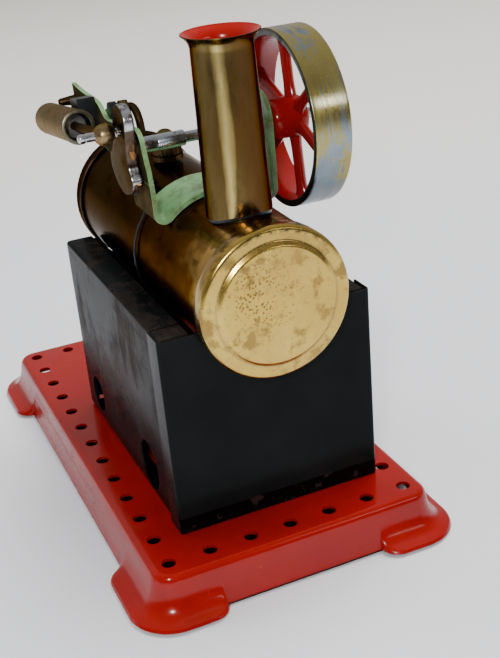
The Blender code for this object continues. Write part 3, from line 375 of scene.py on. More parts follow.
class Graph:
    """Small helper for building a material, or the world, from procedural maps."""

    def __init__(self, name, kind="materials", shader="Principled BSDF", **sockets):
        self.owner = getattr(bpy.data, kind).new(name)
        self.owner.use_nodes = True
        self.tree = self.owner.node_tree
        self.shader = self.tree.nodes[shader]
        self.coords = self.node("TexCoord")
        for key, value in sockets.items():
            self.set(key.replace("_", " "), value)

    def put(self, value, socket):
        """Link a Value to the socket, or set a constant on it."""
        if isinstance(value, Value):
            self.tree.links.new(value.socket, socket)
        elif isinstance(value, tuple) and len(socket.default_value) == 4:
            socket.default_value = (*value, 1)
        else:
            socket.default_value = value

    def set(self, label, value):
        self.put(value, self.shader.inputs[label])

    def node(self, kind, operation=None, **inputs):
        node = self.tree.nodes.new("ShaderNode" + kind)
        if operation:
            node.operation = operation
        for key, value in inputs.items():
            self.put(value, node.inputs[key])
        return node

    def place(self, scale=(1, 1, 1), turn=(0, 0, 0), move=(0, 0, 0)):
        spot = Value(self, self.coords.outputs["Object"])
        node = self.node("Mapping", Vector=spot, Scale=scale, Rotation=turn, Location=move)
        return Value(self, node.outputs["Vector"])

    def noise(self, scale, detail=4, rough=0.55, stretch=(1, 1, 1), warp=0, turn=(0, 0, 0), move=(0, 0, 0)):
        node = self.node("TexNoise", Scale=scale, Detail=detail, Roughness=rough, Distortion=warp,
                         Vector=self.place(stretch, turn, move))
        return Value(self, node.outputs["Fac"])

    def cells(self, scale, stretch):
        node = self.node("TexVoronoi", Scale=scale, Vector=self.place(stretch))
        return Value(self, node.outputs["Distance"])

    def ramp(self, fac, *stops):
        node = self.node("ValToRGB", Fac=fac)
        band = node.color_ramp.elements
        while len(band) < len(stops):
            band.new(0.5)
        for element, (position, value) in zip(band, stops):
            element.position = position
            element.color = (*value, 1) if isinstance(value, tuple) else (value, value, value, 1)
        return Value(self, node.outputs["Color"])

    def math(self, operation, a, b=0):
        node = self.node("Math", operation)
        self.put(a, node.inputs[0])
        self.put(b, node.inputs[1])
        return Value(self, node.outputs[0])

    def dot(self, a, b):
        node = self.node("VectorMath", "DOT_PRODUCT")
        self.put(a, node.inputs[0])
        self.put(b, node.inputs[1])
        return Value(self, node.outputs["Value"])

    def mix(self, fac, a, b, blend="MIX"):
        node = self.node("Mix")
        node.data_type = "RGBA"
        node.blend_type = blend
        self.put(fac, node.inputs["Factor"])
        colors = [socket for socket in node.inputs if socket.type == "RGBA"]
        self.put(a, colors[0])
        self.put(b, colors[1])
        return Value(self, [socket for socket in node.outputs if socket.type == "RGBA"][0])

    def part(self, output, axis):
        node = self.node("SeparateXYZ", Vector=Value(self, self.coords.outputs[output]))
        return Value(self, node.outputs[axis])

    def position(self, axis):
        """Place along an axis in millimetres."""
        return self.part("Object", axis) * 1000

    def edges(self, radius, low=0.02, high=0.12):
        """Bright where the surface turns within radius millimetres."""
        bevel = self.node("Bevel", Radius=radius * MM)
        bevel.samples = 6
        normal = Value(self, self.node("NewGeometry").outputs["Normal"])
        return self.ramp(1 - self.dot(Value(self, bevel.outputs[0]), normal), (low, 0), (high, 1))

    def bump(self, height, strength, distance):
        """Chain a bump of distance millimetres onto the shader's normal."""
        node = self.node("Bump", Strength=strength, Distance=distance * MM, Height=height)
        normal = self.shader.inputs["Normal"]
        if normal.is_linked:
            self.put(Value(self, normal.links[0].from_socket), node.inputs["Normal"])
        self.put(Value(self, node.outputs["Normal"]), normal)


# Materials

def red_enamel(name, deep=(0.25, 0.001, 0), bright=(0.32, 0.002, 0)):
    g = Graph(name, Roughness=0.3, Coat_Weight=0.12, Coat_Roughness=0.08, Specular_IOR_Level=0.3)
    cloud = g.noise(35, 4)
    color = g.mix(g.ramp(cloud, (0.35, 0), (0.7, 1)), deep, bright)
    dirt = g.ramp(g.noise(420, 8, 0.7), (0.66, 0), (0.74, 0.6))
    color = g.mix(dirt, color, (0.16, 0.012, 0.006))
    chips = g.edges(0.45, 0.06, 0.2) * g.ramp(g.noise(260, 5, 0.65), (0.56, 0), (0.62, 1))
    color = g.mix(chips, color, (0.11, 0.045, 0.03))
    g.set("Base Color", color)
    rough = g.ramp(g.noise(160, 6, 0.6), (0.3, 0.14), (0.75, 0.3))
    g.set("Roughness", rough)
    g.bump(g.noise(900, 2), 0.04, 0.05)
    g.bump(g.noise(60, 2), 0.2, 0.25)
    return g.owner


def black_enamel(name, worn):
    g = Graph(name, Specular_IOR_Level=0.05 - 0.03 * worn)
    cloud = g.ramp(g.noise(50, 4), (0.35, 0), (0.7, 1))
    base = g.mix(cloud, (0.0045, 0.0054, 0.0056), (0.0072, 0.0083, 0.0086))
    streak = g.noise(120, 8, 0.75, stretch=(1, 1, 0.3), warp=0.8)
    patch = g.noise(42, 6, 0.65, stretch=(1, 1, 0.6), warp=0.5, move=(0.3, 0.1, 0.2))
    high = g.ramp(streak, (0.42, 0.15), (0.6, 1)) * g.ramp(patch, (0.44, 0), (0.54, 1))
    rise = g.ramp((g.position("Z") - 24) / 50, (0.1, 0.15), (0.75, 1))
    wear = (high * rise * worn).clamped()
    color = g.mix(wear, base, (0.03, 0.022, 0.019))
    edge = g.edges(0.4, 0.05, 0.2) * g.ramp(g.noise(300, 5, 0.6), (0.45, 0), (0.6, 1))
    color = g.mix(edge * 0.35, color, (0.07, 0.066, 0.062))
    dust = g.ramp(g.noise(1400, 3, 0.6), (0.68, 0), (0.76, 0.3))
    color = g.mix(dust, color, (0.05, 0.05, 0.048))
    # Painted contact shade and reflection along the foot of the plates: a near-black band about 5 mm high,
    # its reddish spots painted as the red base reflected in the gloss.
    grime = g.position("Z") - g.noise(90, 3, 0.5) * 0.6
    red_reflection_spots = g.ramp(g.noise(240, 4, 0.55, move=(0.1, 0.5, 0.3)), (0.58, 0), (0.64, 1))
    soot = g.mix(red_reflection_spots, (0.0012, 0.001, 0.001), (0.022, 0.012, 0.013))
    color = g.mix(g.ramp(grime / 40, (0.472, 1), (0.482, 0)), color, soot)
    # Painted shade: a dark line on the side walls in the gap along the edge of the front plate's flange.
    if worn > 0.5:
        flange_shade_offset = abs(g.position("X") - (BOX_X[1] - WRAP_LEN - 0.15))
        color = g.mix(g.ramp(flange_shade_offset, (0.15, 1), (0.4, 0)), color, (0.001, 0.001, 0.001))
    g.set("Base Color", color)
    scratch = g.ramp(g.noise(700, 3, 0.5, stretch=(0.04, 1, 1), turn=(0, 0.25, 0)), (0.62, 0), (0.7, 1))
    rough = g.ramp(g.noise(120, 5), (0.3, 0.12), (0.75, 0.26)) + wear * 0.35
    g.set("Roughness", (rough + scratch * 0.08).clamped())
    g.bump(g.noise(1100, 2), 0.04, 0.04)
    g.bump(g.noise(40, 2), 0.2, 0.2)
    g.bump(wear, 0.15, -0.02)
    return g.owner


def tarnished(name, colors, stains, rough=(0.22, 0.42), scale=45, stretch=(1, 1, 1), spots=0.5, brush=None):
    """Metal with drifting tarnish: colors run from clean to dark, stains is the darkest film."""
    g = Graph(name, Metallic=1, Specular_Tint=tuple(min(1, 1.6 * c) for c in colors[0]))
    drift = g.noise(scale, 6, 0.62, stretch=stretch, warp=0.4)
    steps = [(0.3 + 0.4 * i / max(len(colors) - 1, 1), c) for i, c in enumerate(colors)]
    color = g.ramp(drift, *steps)
    smear = g.noise(scale * 2.6, 7, 0.7, stretch=stretch, move=(0.2, 0.4, 0.1))
    film = g.ramp(smear, (0.52, 0), (0.68, 0.85))
    color = g.mix(film, color, stains)
    fleck = g.ramp(g.noise(900, 3, 0.6), (0.64, 0), (0.7, spots))
    g.base = g.mix(fleck, color, tuple(0.5 * c for c in stains))
    g.set("Base Color", g.base)
    level = g.ramp(g.noise(scale * 4, 6, 0.65), (0.3, rough[0]), (0.72, rough[1]))
    g.set("Roughness", (level + film * 0.12).clamped())
    if brush:
        g.bump(g.noise(1600, 3, 0.6, stretch=brush), 0.12, 0.02)
    g.bump(g.noise(500, 4), 0.08, 0.03)
    return g


def cap_brass(name):
    """Polished cap with corroded specks, larger soft stains and a dirty outer groove."""
    g = Graph(name, Metallic=1)
    cloud = g.ramp(g.noise(30, 4, 0.6), (0.35, 0), (0.7, 1))
    color = g.mix(cloud, (0.66, 0.465, 0.115), (0.58, 0.385, 0.08))
    near = abs(g.position("X") - 76) < 3
    dy = g.position("Y") - BOILER_Y
    dz = g.position("Z") - BOILER_Z
    radial = g.math("SQRT", dy * dy + dz * dz)
    cluster = g.math("SQRT", abs(dy + 4.5) ** 2 + abs(dz - 4) ** 2)
    focus = g.ramp(cluster / 22, (0.1, 1), (0.62, 0.12))
    seeds = g.cells(1050, (0.25, 1, 1))
    size = g.noise(240, 2, 0.5, stretch=(0.3, 1, 1))
    dots = g.ramp(size * 0.78 - seeds, (0.02, 0), (0.16, 1))
    dots = dots * focus * near
    color = g.mix(dots * 0.85, color, (0.14, 0.08, 0.025))
    blots = g.ramp(g.noise(150, 6, 0.65, move=(0.05, 0.31, 0.12)), (0.53, 0), (0.62, 0.75))
    color = g.mix(blots * near, color, (0.21, 0.125, 0.038))
    haze = g.ramp(g.noise(55, 5, 0.6, move=(0.4, 0.02, 0.07)), (0.45, 0), (0.7, 0.55))
    color = g.mix(haze, color, (0.5, 0.32, 0.09))
    high = g.ramp(dz / 22, (0.35, 0), (0.85, 1))
    groove = g.ramp(abs(radial - 20.6), (0.2, 1), (0.95, 0))
    crust = g.ramp(g.noise(330, 5, 0.7), (0.42, 0), (0.58, 1))
    color = g.mix(groove * high * crust, color, (0.085, 0.06, 0.035))
    ring = g.ramp(abs(radial - (CAP_STEP_R + 0.65)), (0.1, 0.55), (0.5, 0))
    color = g.mix(ring * near, color, (0.3, 0.2, 0.09))
    side = g.ramp((76 - g.position("X")) / 6, (0.2, 0), (0.6, 0.8))
    color = g.mix(side, color, (0.42, 0.25, 0.09))
    g.set("Base Color", color)
    rough = g.ramp(g.noise(90, 6, 0.65), (0.3, 0.17), (0.75, 0.3))
    g.set("Roughness", (rough + dots * 0.3).clamped())
    g.bump(dots, 0.3, -0.03)
    g.bump(g.noise(70, 2), 0.2, 0.12)
    return g.owner


def boiler_metal(name):
    """Heat-stained boiler: golden by the front cap, brown to plum along the side."""
    g = Graph(name, Metallic=1, Specular_Tint=(0.48, 0.43, 0.39))
    along = (g.position("X") + 45) / 120
    drift = along + (g.noise(38, 5, 0.6, warp=0.5) - 0.5) * 0.9
    color = g.ramp(drift, (0.1, (0.055, 0.043, 0.031)), (0.42, (0.046, 0.033, 0.024)),
                   (0.66, (0.08, 0.036, 0.017)), (0.84, (0.18, 0.076, 0.022)), (0.96, (0.62, 0.39, 0.125)))
    up = (g.position("Z") - BOILER_Z) / BOILER_R
    low = g.ramp(up, (0, 0.6), (0.75, 0))
    color = g.mix(low, color, (0.02, 0.013, 0.009))
    rust = g.ramp(g.noise(75, 6, 0.7, move=(0.6, 0.2, 0.3)), (0.5, 0), (0.66, 0.8))
    color = g.mix((rust * along).clamped(), color, (0.12, 0.04, 0.008))
    soot = g.ramp(g.noise(160, 7, 0.7), (0.55, 0), (0.7, 0.75))
    color = g.mix(soot, color, (0.02, 0.013, 0.009))
    g.set("Base Color", color)
    g.set("Roughness", g.ramp(g.noise(130, 6, 0.65), (0.3, 0.17), (0.72, 0.3)))
    g.bump(g.noise(420, 4), 0.06, 0.03)
    g.bump(g.noise(1500, 3, 0.6, stretch=(0.05, 1, 1)), 0.08, 0.015)
    return g.owner


def chimney_brass(name):
    browns = [(0.2, 0.155, 0.062), (0.15, 0.105, 0.038), (0.095, 0.058, 0.018), (0.12, 0.06, 0.015)]
    g = tarnished(name, browns, (0.05, 0.031, 0.012), (0.14, 0.24), 48, (1, 1, 0.3), 0.35, (1, 1, 0.03))
    color = g.base
    side = (g.position("Y") - CHIMNEY[1]) / 9.4
    front = (g.position("X") - CHIMNEY[0]) / 9.4
    drift = (g.noise(70, 6, 0.65, stretch=(1, 1, 0.2)) - 0.5) * 0.55
    turn = side * 0.914 + front * 0.405 + drift
    # Painted shade: the chimney turns darker red-brown towards its right as seen from the camera.
    color = g.mix(g.ramp(turn, (0.1, 0), (0.75, 0.85)), color, (0.09, 0.036, 0.01))
    # Painted highlight: a bright vertical streak just left of centre, standing for the floor reflected in
    # the chimney.
    painted_streak_offset = abs(turn + 0.13)
    color = g.mix(g.ramp(painted_streak_offset, (0.01, 0.9), (0.2, 0)), color, (0.54, 0.42, 0.15))
    # Painted shade: darker towards the outline on both sides as seen from the camera.
    edge = abs(turn + 0.02)
    color = g.mix(g.ramp(edge, (0.5, 0), (0.95, 0.7)), color, (0.06, 0.036, 0.016))
    g.set("Base Color", color)
    g.set("Specular Tint", (0.36, 0.26, 0.16))
    return g.owner


def tread_metal(name):
    """Flywheel tread: brassy plate worn through to blue-grey steel in streaks round the rim, with painted
    shade low down, painted light high up and a painted highlight line.
    """
    g = Graph(name, Metallic=1)
    plate = g.ramp(g.noise(60, 5, 0.6), (0.3, (0.42, 0.345, 0.12)), (0.7, (0.3, 0.235, 0.07)))
    bare = g.ramp(g.noise(90, 4, 0.6), (0.3, (0.17, 0.21, 0.24)), (0.7, (0.27, 0.315, 0.35)))
    broad = g.noise(34, 5, 0.62, stretch=(1, 0.8, 1), warp=0.8, move=(0.013, 0.02, 0.004))
    streaks = g.noise(900, 5, 0.7, stretch=(0.1, 1.5, 0.1))
    edge = broad + (streaks - 0.5) * 0.8
    side = (g.position("Z") - SHAFT[1]) * -0.0035 + 0.09
    inner = abs(29 - g.position("Y")) * -0.02
    worn = g.ramp(edge + (side + inner), (0.44, 0), (0.48, 1))
    color = g.mix(worn, plate, bare)
    # Painted shade and light: the tread darkens towards the bottom and brightens towards the top.
    height = (g.position("Z") - (SHAFT[1] - 27)) / 54
    painted_shade = g.ramp(height, (0.05, (0.36, 0.37, 0.36)), (0.55, (1.3, 1.35, 1.4)))
    color = g.mix(1, color, painted_shade, "MULTIPLY")
    # Painted highlight: a bright line across the tread about 9 mm above the shaft, on the side towards the
    # camera, broken by the streaks.
    level = abs(g.position("Z") - (SHAFT[1] + 9.2))
    painted_glint = g.ramp(level / 4, (0.1, 1), (0.5, 0)) * g.ramp(streaks, (0.4, 0.5), (0.6, 1))
    painted_glint *= g.ramp(g.position("X") / 60, (0.5, 0), (0.6, 1))
    color = g.mix(painted_glint, color, (1, 0.98, 0.7))
    rust = g.ramp(g.noise(210, 6, 0.7, move=(0.3, 0.1, 0.6)), (0.62, 0), (0.7, 0.8))
    color = g.mix(rust, color, (0.2, 0.11, 0.045))
    g.set("Base Color", color)
    g.set("Roughness", g.ramp(g.noise(300, 5, 0.6, stretch=(0.2, 1.4, 0.2)), (0.3, 0.2), (0.7, 0.36)))
    g.bump(streaks, 0.12, 0.03)
    g.bump(worn, 0.25, -0.02)
    return g.owner


def bright_steel(name, tint=(0.62, 0.63, 0.66), rough=(0.12, 0.3), grime=(0.14, 0.1, 0.07), amount=0.6):
    g = Graph(name, Metallic=1)
    color = g.ramp(g.noise(120, 5, 0.6), (0.3, tint), (0.7, tuple(0.7 * c for c in tint)))
    stain = g.ramp(g.noise(260, 6, 0.68), (0.53, 0), (0.66, amount))
    color = g.mix(stain, color, grime)
    g.set("Base Color", color)
    level = g.ramp(g.noise(420, 5, 0.6), (0.3, rough[0]), (0.7, rough[1]))
    g.set("Roughness", (level + stain * 0.25).clamped())
    g.bump(g.noise(900, 4), 0.12, 0.02)
    return g.owner


def web_metal(name):
    """Crank web: worn plating with brown film on the faces, bright worn edges, and a painted highlight on
    the rim faces at its top and bottom ends.
    """
    g = Graph(name, Metallic=1, Specular_Tint=(0.4, 0.37, 0.33))
    face = g.ramp(g.noise(150, 6, 0.65), (0.3, (0.13, 0.105, 0.085)), (0.7, (0.055, 0.036, 0.022)))
    rimward = g.ramp(abs(g.part("Normal", "Y")), (0.25, 1), (0.75, 0))
    # Painted highlight: the rim faces turn bright metal only near the web's top and bottom ends; the rounded
    # edges add real edge wear.
    ends = abs(g.position("Z") - (SHAFT[1] + 1.2))
    highlight_ends = g.ramp(ends / 12, (0.43, 0), (0.48, 1))
    edge_wear_and_highlight = g.math("MAXIMUM", g.edges(0.5, 0.04, 0.2) * 0.45, rimward * highlight_ends)
    wear = edge_wear_and_highlight * g.ramp(g.noise(420, 5, 0.6), (0.36, 0), (0.5, 1))
    color = g.mix(wear, face, (0.62, 0.63, 0.66))
    pits = g.ramp(g.noise(1300, 3, 0.6), (0.62, 0), (0.7, 0.8))
    color = g.mix(pits, color, (0.07, 0.05, 0.035))
    g.set("Base Color", color)
    g.set("Roughness", g.ramp(g.noise(350, 5, 0.6), (0.3, 0.16), (0.7, 0.34)))
    g.bump(pits, 0.2, -0.02)
    g.bump(g.noise(200, 3), 0.12, 0.08)
    return g.owner


def green_enamel(name):
    g = Graph(name, Coat_Weight=0.15, Coat_Roughness=0.2)
    cloud = g.ramp(g.noise(90, 5, 0.6), (0.35, 0), (0.68, 1))
    color = g.mix(cloud, (0.13, 0.29, 0.125), (0.185, 0.365, 0.155))
    grime = g.ramp(g.noise(170, 8, 0.75), (0.47, 0), (0.64, 0.85))
    color = g.mix(grime, color, (0.075, 0.07, 0.025))
    edge = g.edges(0.5, 0.04, 0.2)
    color = g.mix(edge * 0.75, color, (0.27, 0.36, 0.11))
    chips = edge * g.ramp(g.noise(520, 5, 0.65), (0.57, 0), (0.62, 1))
    color = g.mix(chips, color, (0.1, 0.075, 0.04))
    g.set("Base Color", color)
    g.set("Roughness", g.ramp(g.noise(220, 5, 0.6), (0.3, 0.3), (0.7, 0.55)))
    g.bump(g.noise(700, 3), 0.08, 0.04)
    g.bump(chips, 0.3, -0.03)
    return g.owner


def panel_grime(name):
    """Outer face of the engine panel: dark oily film over the metal, green only in traces."""
    g = Graph(name, Specular_IOR_Level=0)
    color = g.ramp(g.noise(110, 6, 0.65), (0.3, (0.1, 0.068, 0.03)), (0.55, (0.042, 0.032, 0.016)),
                   (0.75, (0.1, 0.11, 0.045)))
    edge = g.edges(0.6, 0.04, 0.2) * 0.85
    color = g.mix(edge, color, (0.3, 0.48, 0.27))
    g.set("Base Color", color)
    g.set("Roughness", g.ramp(g.noise(260, 5, 0.6), (0.3, 0.28), (0.7, 0.55)))
    g.bump(g.noise(600, 4), 0.15, 0.04)
    return g.owner


RED = red_enamel("enamel_red")
WHEEL_RED = red_enamel("enamel_red_wheel", (0.2, 0.001, 0), (0.28, 0.003, 0.001))
BLACK = black_enamel("enamel_black", 0)
BLACK_WORN = black_enamel("enamel_black_worn", 1)
CAP = cap_brass("brass_cap")
BOILER = boiler_metal("brass_boiler")
CHIMNEY_OUT = chimney_brass("brass_chimney")
TREAD = tread_metal("tread_plate")
STEEL = bright_steel("steel_bright")
SHAFT_STEEL = bright_steel("steel_shaft", (0.5, 0.54, 0.6), (0.14, 0.32), (0.16, 0.11, 0.075), 0.7)
DULL_STEEL = bright_steel("steel_dull", (0.32, 0.31, 0.3), (0.28, 0.5), (0.09, 0.06, 0.04), 0.8)
DARK_STEEL = bright_steel("steel_dark", (0.05, 0.056, 0.064), (0.3, 0.5), (0.05, 0.035, 0.025), 0.8)
SOOT_STEEL = bright_steel("steel_soot", (0.1, 0.1, 0.1), (0.4, 0.65), (0.03, 0.02, 0.015), 0.9)
WEB = web_metal("plate_web")
GREEN = green_enamel("enamel_green")
PANEL = panel_grime("enamel_green_grime")
BARREL = tarnished("brass_barrel", [(0.36, 0.295, 0.21), (0.27, 0.215, 0.145), (0.24, 0.17, 0.105)],
                   (0.16, 0.125, 0.085), (0.4, 0.6), 90, (1, 1, 1), 0.5, (0.05, 1, 1)).owner
BORE = tarnished("bore_steel", [(0.1, 0.13, 0.14), (0.06, 0.085, 0.095)], (0.02, 0.02, 0.018),
                 (0.3, 0.5), 120).owner
BALL = tarnished("brass_ball", [(0.42, 0.33, 0.18), (0.28, 0.2, 0.1), (0.16, 0.1, 0.05)],
                 (0.16, 0.1, 0.05), (0.28, 0.45), 150).owner
ROD = tarnished("brass_rod", [(0.2, 0.155, 0.1), (0.14, 0.095, 0.055)], (0.12, 0.08, 0.05),
                (0.3, 0.5), 120).owner
DARK_BRASS = tarnished("brass_dark", [(0.12, 0.075, 0.035), (0.07, 0.042, 0.02), (0.09, 0.04, 0.015)],
                       (0.04, 0.026, 0.016), (0.28, 0.5), 120).owner
OLIVE_BRASS = tarnished("brass_olive", [(0.22, 0.175, 0.07), (0.15, 0.115, 0.045)], (0.05, 0.036, 0.017),
                        (0.26, 0.45), 120).owner
REAR_CAP = tarnished("brass_cap_rear", [(0.14, 0.095, 0.05), (0.1, 0.062, 0.035), (0.075, 0.045, 0.026)],
                     (0.035, 0.022, 0.014), (0.25, 0.42), 60).owner
CHIMNEY_RED = red_enamel("enamel_red_chimney", (0.3, 0.003, 0.002), (0.38, 0.008, 0.004))
MOUTH = tarnished("brass_mouth", [(0.24, 0.22, 0.16), (0.12, 0.1, 0.065)], (0.1, 0.075, 0.05),
                  (0.3, 0.45), 200).owner
RIM_DARK = bright_steel("rim_dark", (0.05, 0.055, 0.05), (0.3, 0.45), (0.02, 0.018, 0.012), 0.7)


# Base

def tray_stations():
    stations = []
    hx = LIP_HALF[0] - LIP_CORNER_R
    hy = LIP_HALF[1] - LIP_CORNER_R
    turns = [pi / 2 * k / 14 for k in range(15)]
    ramp = [(sin(a), cos(a)) for a in turns]
    for quarter in range(4):
        sx, sy = ((1, 1), (-1, 1), (-1, -1), (1, -1))[quarter]
        corner = Vector((sx * hx, sy * hy, 0))
        for k in range(17):
            a = pi / 2 * (quarter + k / 16)
            stations.append((corner, Vector((cos(a), sin(a), 0)), 1))
        a = pi / 2 * (quarter + 1)
        normal = Vector((round(cos(a)), round(sin(a)), 0))
        long_side = quarter % 2 == 0
        start = FOOT_START[0] if long_side else FOOT_START[1]
        run = [(start - step * FOOT_RAMP, weight) for step, weight in ramp]
        side_sign = sx if long_side else sy
        for distance, weight in run + [(-d, w) for d, w in run[::-1]]:
            value = side_sign * distance
            anchor = Vector((value, sy * hy, 0)) if long_side else Vector((sx * hx, value, 0))
            stations.append((anchor, normal, weight))
    return stations


def skirt_section(weight):
    shoulder = [(10, 0), (9.4, 0.06), (8.8, 0.28), (8.3, 0.72), (7.9, 1.35), (7.6, 2.2)]
    plain = shoulder + [(7.15, 4.4), (6.75, 6.6), (6.4, 8.2), (6.15, 9.4), (5.9, 10.4), (5.65, 11.2),
                        (5.45, 11.9), (5.25, 12.5), (5.1, 12.9)]
    foot = shoulder + [(7.1, 4.9), (6.4, 7.3), (5.5, 9.1), (4.5, 10.3), (3.4, 11.1), (2.3, 11.6),
                       (1.3, 11.9), (0.45, 12.3), (0, 13.1)]
    outer = [
        Vector((a[0] + (b[0] - a[0]) * weight, BASE_H - (a[1] + (b[1] - a[1]) * weight)))
        for a, b in zip(plain, foot)
    ]
    inner = []
    for i, point in enumerate(outer):
        tangent = (outer[min(i + 1, len(outer) - 1)] - outer[max(i - 1, 0)]).normalized()
        inner.append(point + Vector((-tangent.y, tangent.x)) * TRAY_T)
    return outer, inner


def make_base():
    rows = []
    for anchor, normal, weight in tray_stations():
        outer, inner = skirt_section(weight)
        section = []
        for inset, height in outer + inner[::-1]:
            spot = anchor + normal * (LIP_CORNER_R - inset)
            section.append((spot.x, spot.y, max(height, 0)))
        rows.append(section)
    bm = bmesh.new()
    grid = [[bm.verts.new(p) for p in row] for row in rows]
    for i in range(len(grid)):
        j = (i + 1) % len(grid)
        for k in range(len(grid[0]) - 1):
            bm.faces.new((grid[i][k], grid[j][k], grid[j][k + 1], grid[i][k + 1]))
    bm.faces.new([row[0] for row in grid])
    bm.faces.new([row[-1] for row in grid][::-1])
    bmesh.ops.triangulate(bm, faces=[f for f in bm.faces if len(f.verts) > 4])
    holes = bmesh.new()
    for ix in range(13):
        for iy in range(7):
            if 0 < ix < 12 and 0 < iy < 6:
                continue
            x, y = (ix - 6) * HOLE_PITCH, (iy - 3) * HOLE_PITCH
            merge(holes, rod((x, y, BASE_H - 2), (x, y, BASE_H + 1), HOLE_R, 36))
    tray = cut(bm, holes)
    finish_mesh("pressed_base", tray, [RED], "base_plate", bevel=0.22, segments=3, bevel_angle=50)


# Firebox

def boiler_cutter(radius, x0, x1):
    return rod((x0, BOILER_Y, BOILER_Z), (x1, BOILER_Y, BOILER_Z), radius, 128)


def end_plate(name, node, x_face, inward, inset):
    x_mid = x_face + inward * SHEET_T / 2
    flange_x = x_face + inward * WRAP_LEN
    y0, y1 = BOX_Y[0] + inset + SHEET_T / 2, BOX_Y[1] - inset - SHEET_T / 2
    path = fillet([(flange_x, y0), (x_mid, y0), (x_mid, y1), (flange_x, y1)], (0.9, 0.9))
    low = BASE_H + 0.3 + inset
    bm = prism(strip(path, SHEET_T), Matrix.Translation((0, 0, low)), BOX_TOP - inset - low)
    bm = cut(bm, boiler_cutter(BOILER_R + 0.3, x_face - 12, x_face + 12))
    if inset:
        mid = sum(BOX_Y) / 2
        bm = cut(bm, box((x_face - 2, mid - 21.5, BASE_H - 1), (x_face + 2, mid + 21.5, BASE_H + 14)))
    finish_mesh(name, bm, [BLACK], node, bevel=0.12, bevel_angle=50)


def side_wall(name, node, y_outer, inward, mat):
    y_mid = y_outer + inward * (SHEET_T * 1.5 + WRAP_GAP)
    top, bottom = BOX_TOP - SHEET_T / 2, BASE_H + 0.3 + SHEET_T / 2
    path = fillet([(y_outer + inward * 9.6, top), (y_mid, top), (y_mid, bottom),
                   (y_mid + inward * 5, bottom)], (0.9, 0.9))
    x0, x1 = BOX_X[0] + 1.5, BOX_X[1] - 1.5
    bm = prism(strip(path, SHEET_T), along_x(x0), x1 - x0)
    for x, radius in AIR_HOLES:
        bm = cut(bm, rod((x, y_mid - 2, AIR_HOLE_Z), (x, y_mid + 2, AIR_HOLE_Z), radius, 72))
    wall = finish_mesh(name, bm, [mat], node, bevel=0.14, bevel_angle=50)
    under = BASE_H - TRAY_T - 0.3
    tabs = bmesh.new()
    for x in (-8, 45):
        near, far = sorted((y_mid - inward * 0.3, y_mid + inward * 4))
        merge(tabs, box((x - 4, near, under - SHEET_T), (x + 4, far, under)))
    finish_mesh(name + "_tabs", tabs, [BLACK], node, replaces=(), bevel=0.12)
    return wall


# Boiler and chimney

def cap_section():
    """Fine section of a cap: raised disc, sloping step, flat ring and rolled edge."""
    step, r = 1, CAP_STEP_R
    outer = [(0, 0), (0, r * 0.35), (0, r * 0.7), (0, r - 1.5)]
    for k in range(9):
        t = k / 8
        outer.append((step * (3 * t * t - 2 * t ** 3), r - 0.95 + 1.9 * t))
    outer += [(step + 0.02, r + 1.6), (step + 0.1, CAP_R - 2.3), (step + 0.14, CAP_R - 1.9)]
    for k in range(9):
        a = pi / 2 * k / 8
        outer.append((step + 1.6 - 1.55 * cos(a), CAP_R - 1.55 + 1.55 * sin(a)))
    outer += [(4.4, CAP_R), (6.2, CAP_R - 0.04), (6.42, CAP_R - 0.12), (6.5, CAP_R - 0.3)]
    inner = [(6.5, CAP_R - 0.6), (2.7, CAP_R - 0.6), (step + 0.6, CAP_R - 2), (step + 0.6, r + 0.45),
             (0.6, r - 0.85), (0.6, 0)]
    return outer + inner


def make_boiler():
    tube = [(0, BOILER_R - 0.7), (0, BOILER_R - 0.1), (0.1, BOILER_R)]
    length = TUBE_X[1] - TUBE_X[0]
    tube += [(length * k / 24, BOILER_R) for k in range(1, 24)]
    tube += [(length - 0.1, BOILER_R), (length, BOILER_R - 0.1), (length, BOILER_R - 0.7)]
    bm = lathe(tube, (TUBE_X[0], BOILER_Y, BOILER_Z), (1, 0, 0), 144)
    top = BOILER_Z + BOILER_R
    bm = cut(bm, rod((VALVE_X, BOILER_Y, top - 4), (VALVE_X, BOILER_Y, top + 2), 3.2, 40))
    bm = cut(bm, rod((*PIPE_SEAT, BOILER_Z + 10), (*PIPE_SEAT, top + 2), 1.55, 24))
    finish_mesh("boiler_shell", bm, [BOILER], "boiler_tube")
    for end, x, inward, mat in (("front", CAP_X[0], -1, CAP), ("rear", CAP_X[1], 1, REAR_CAP)):
        cap = lathe(cap_section(), (x, BOILER_Y, BOILER_Z), (inward, 0, 0), 144)
        finish_mesh("boiler_cap_pressed_" + end, cap, [mat], "boiler_cap_" + end, angle=50)


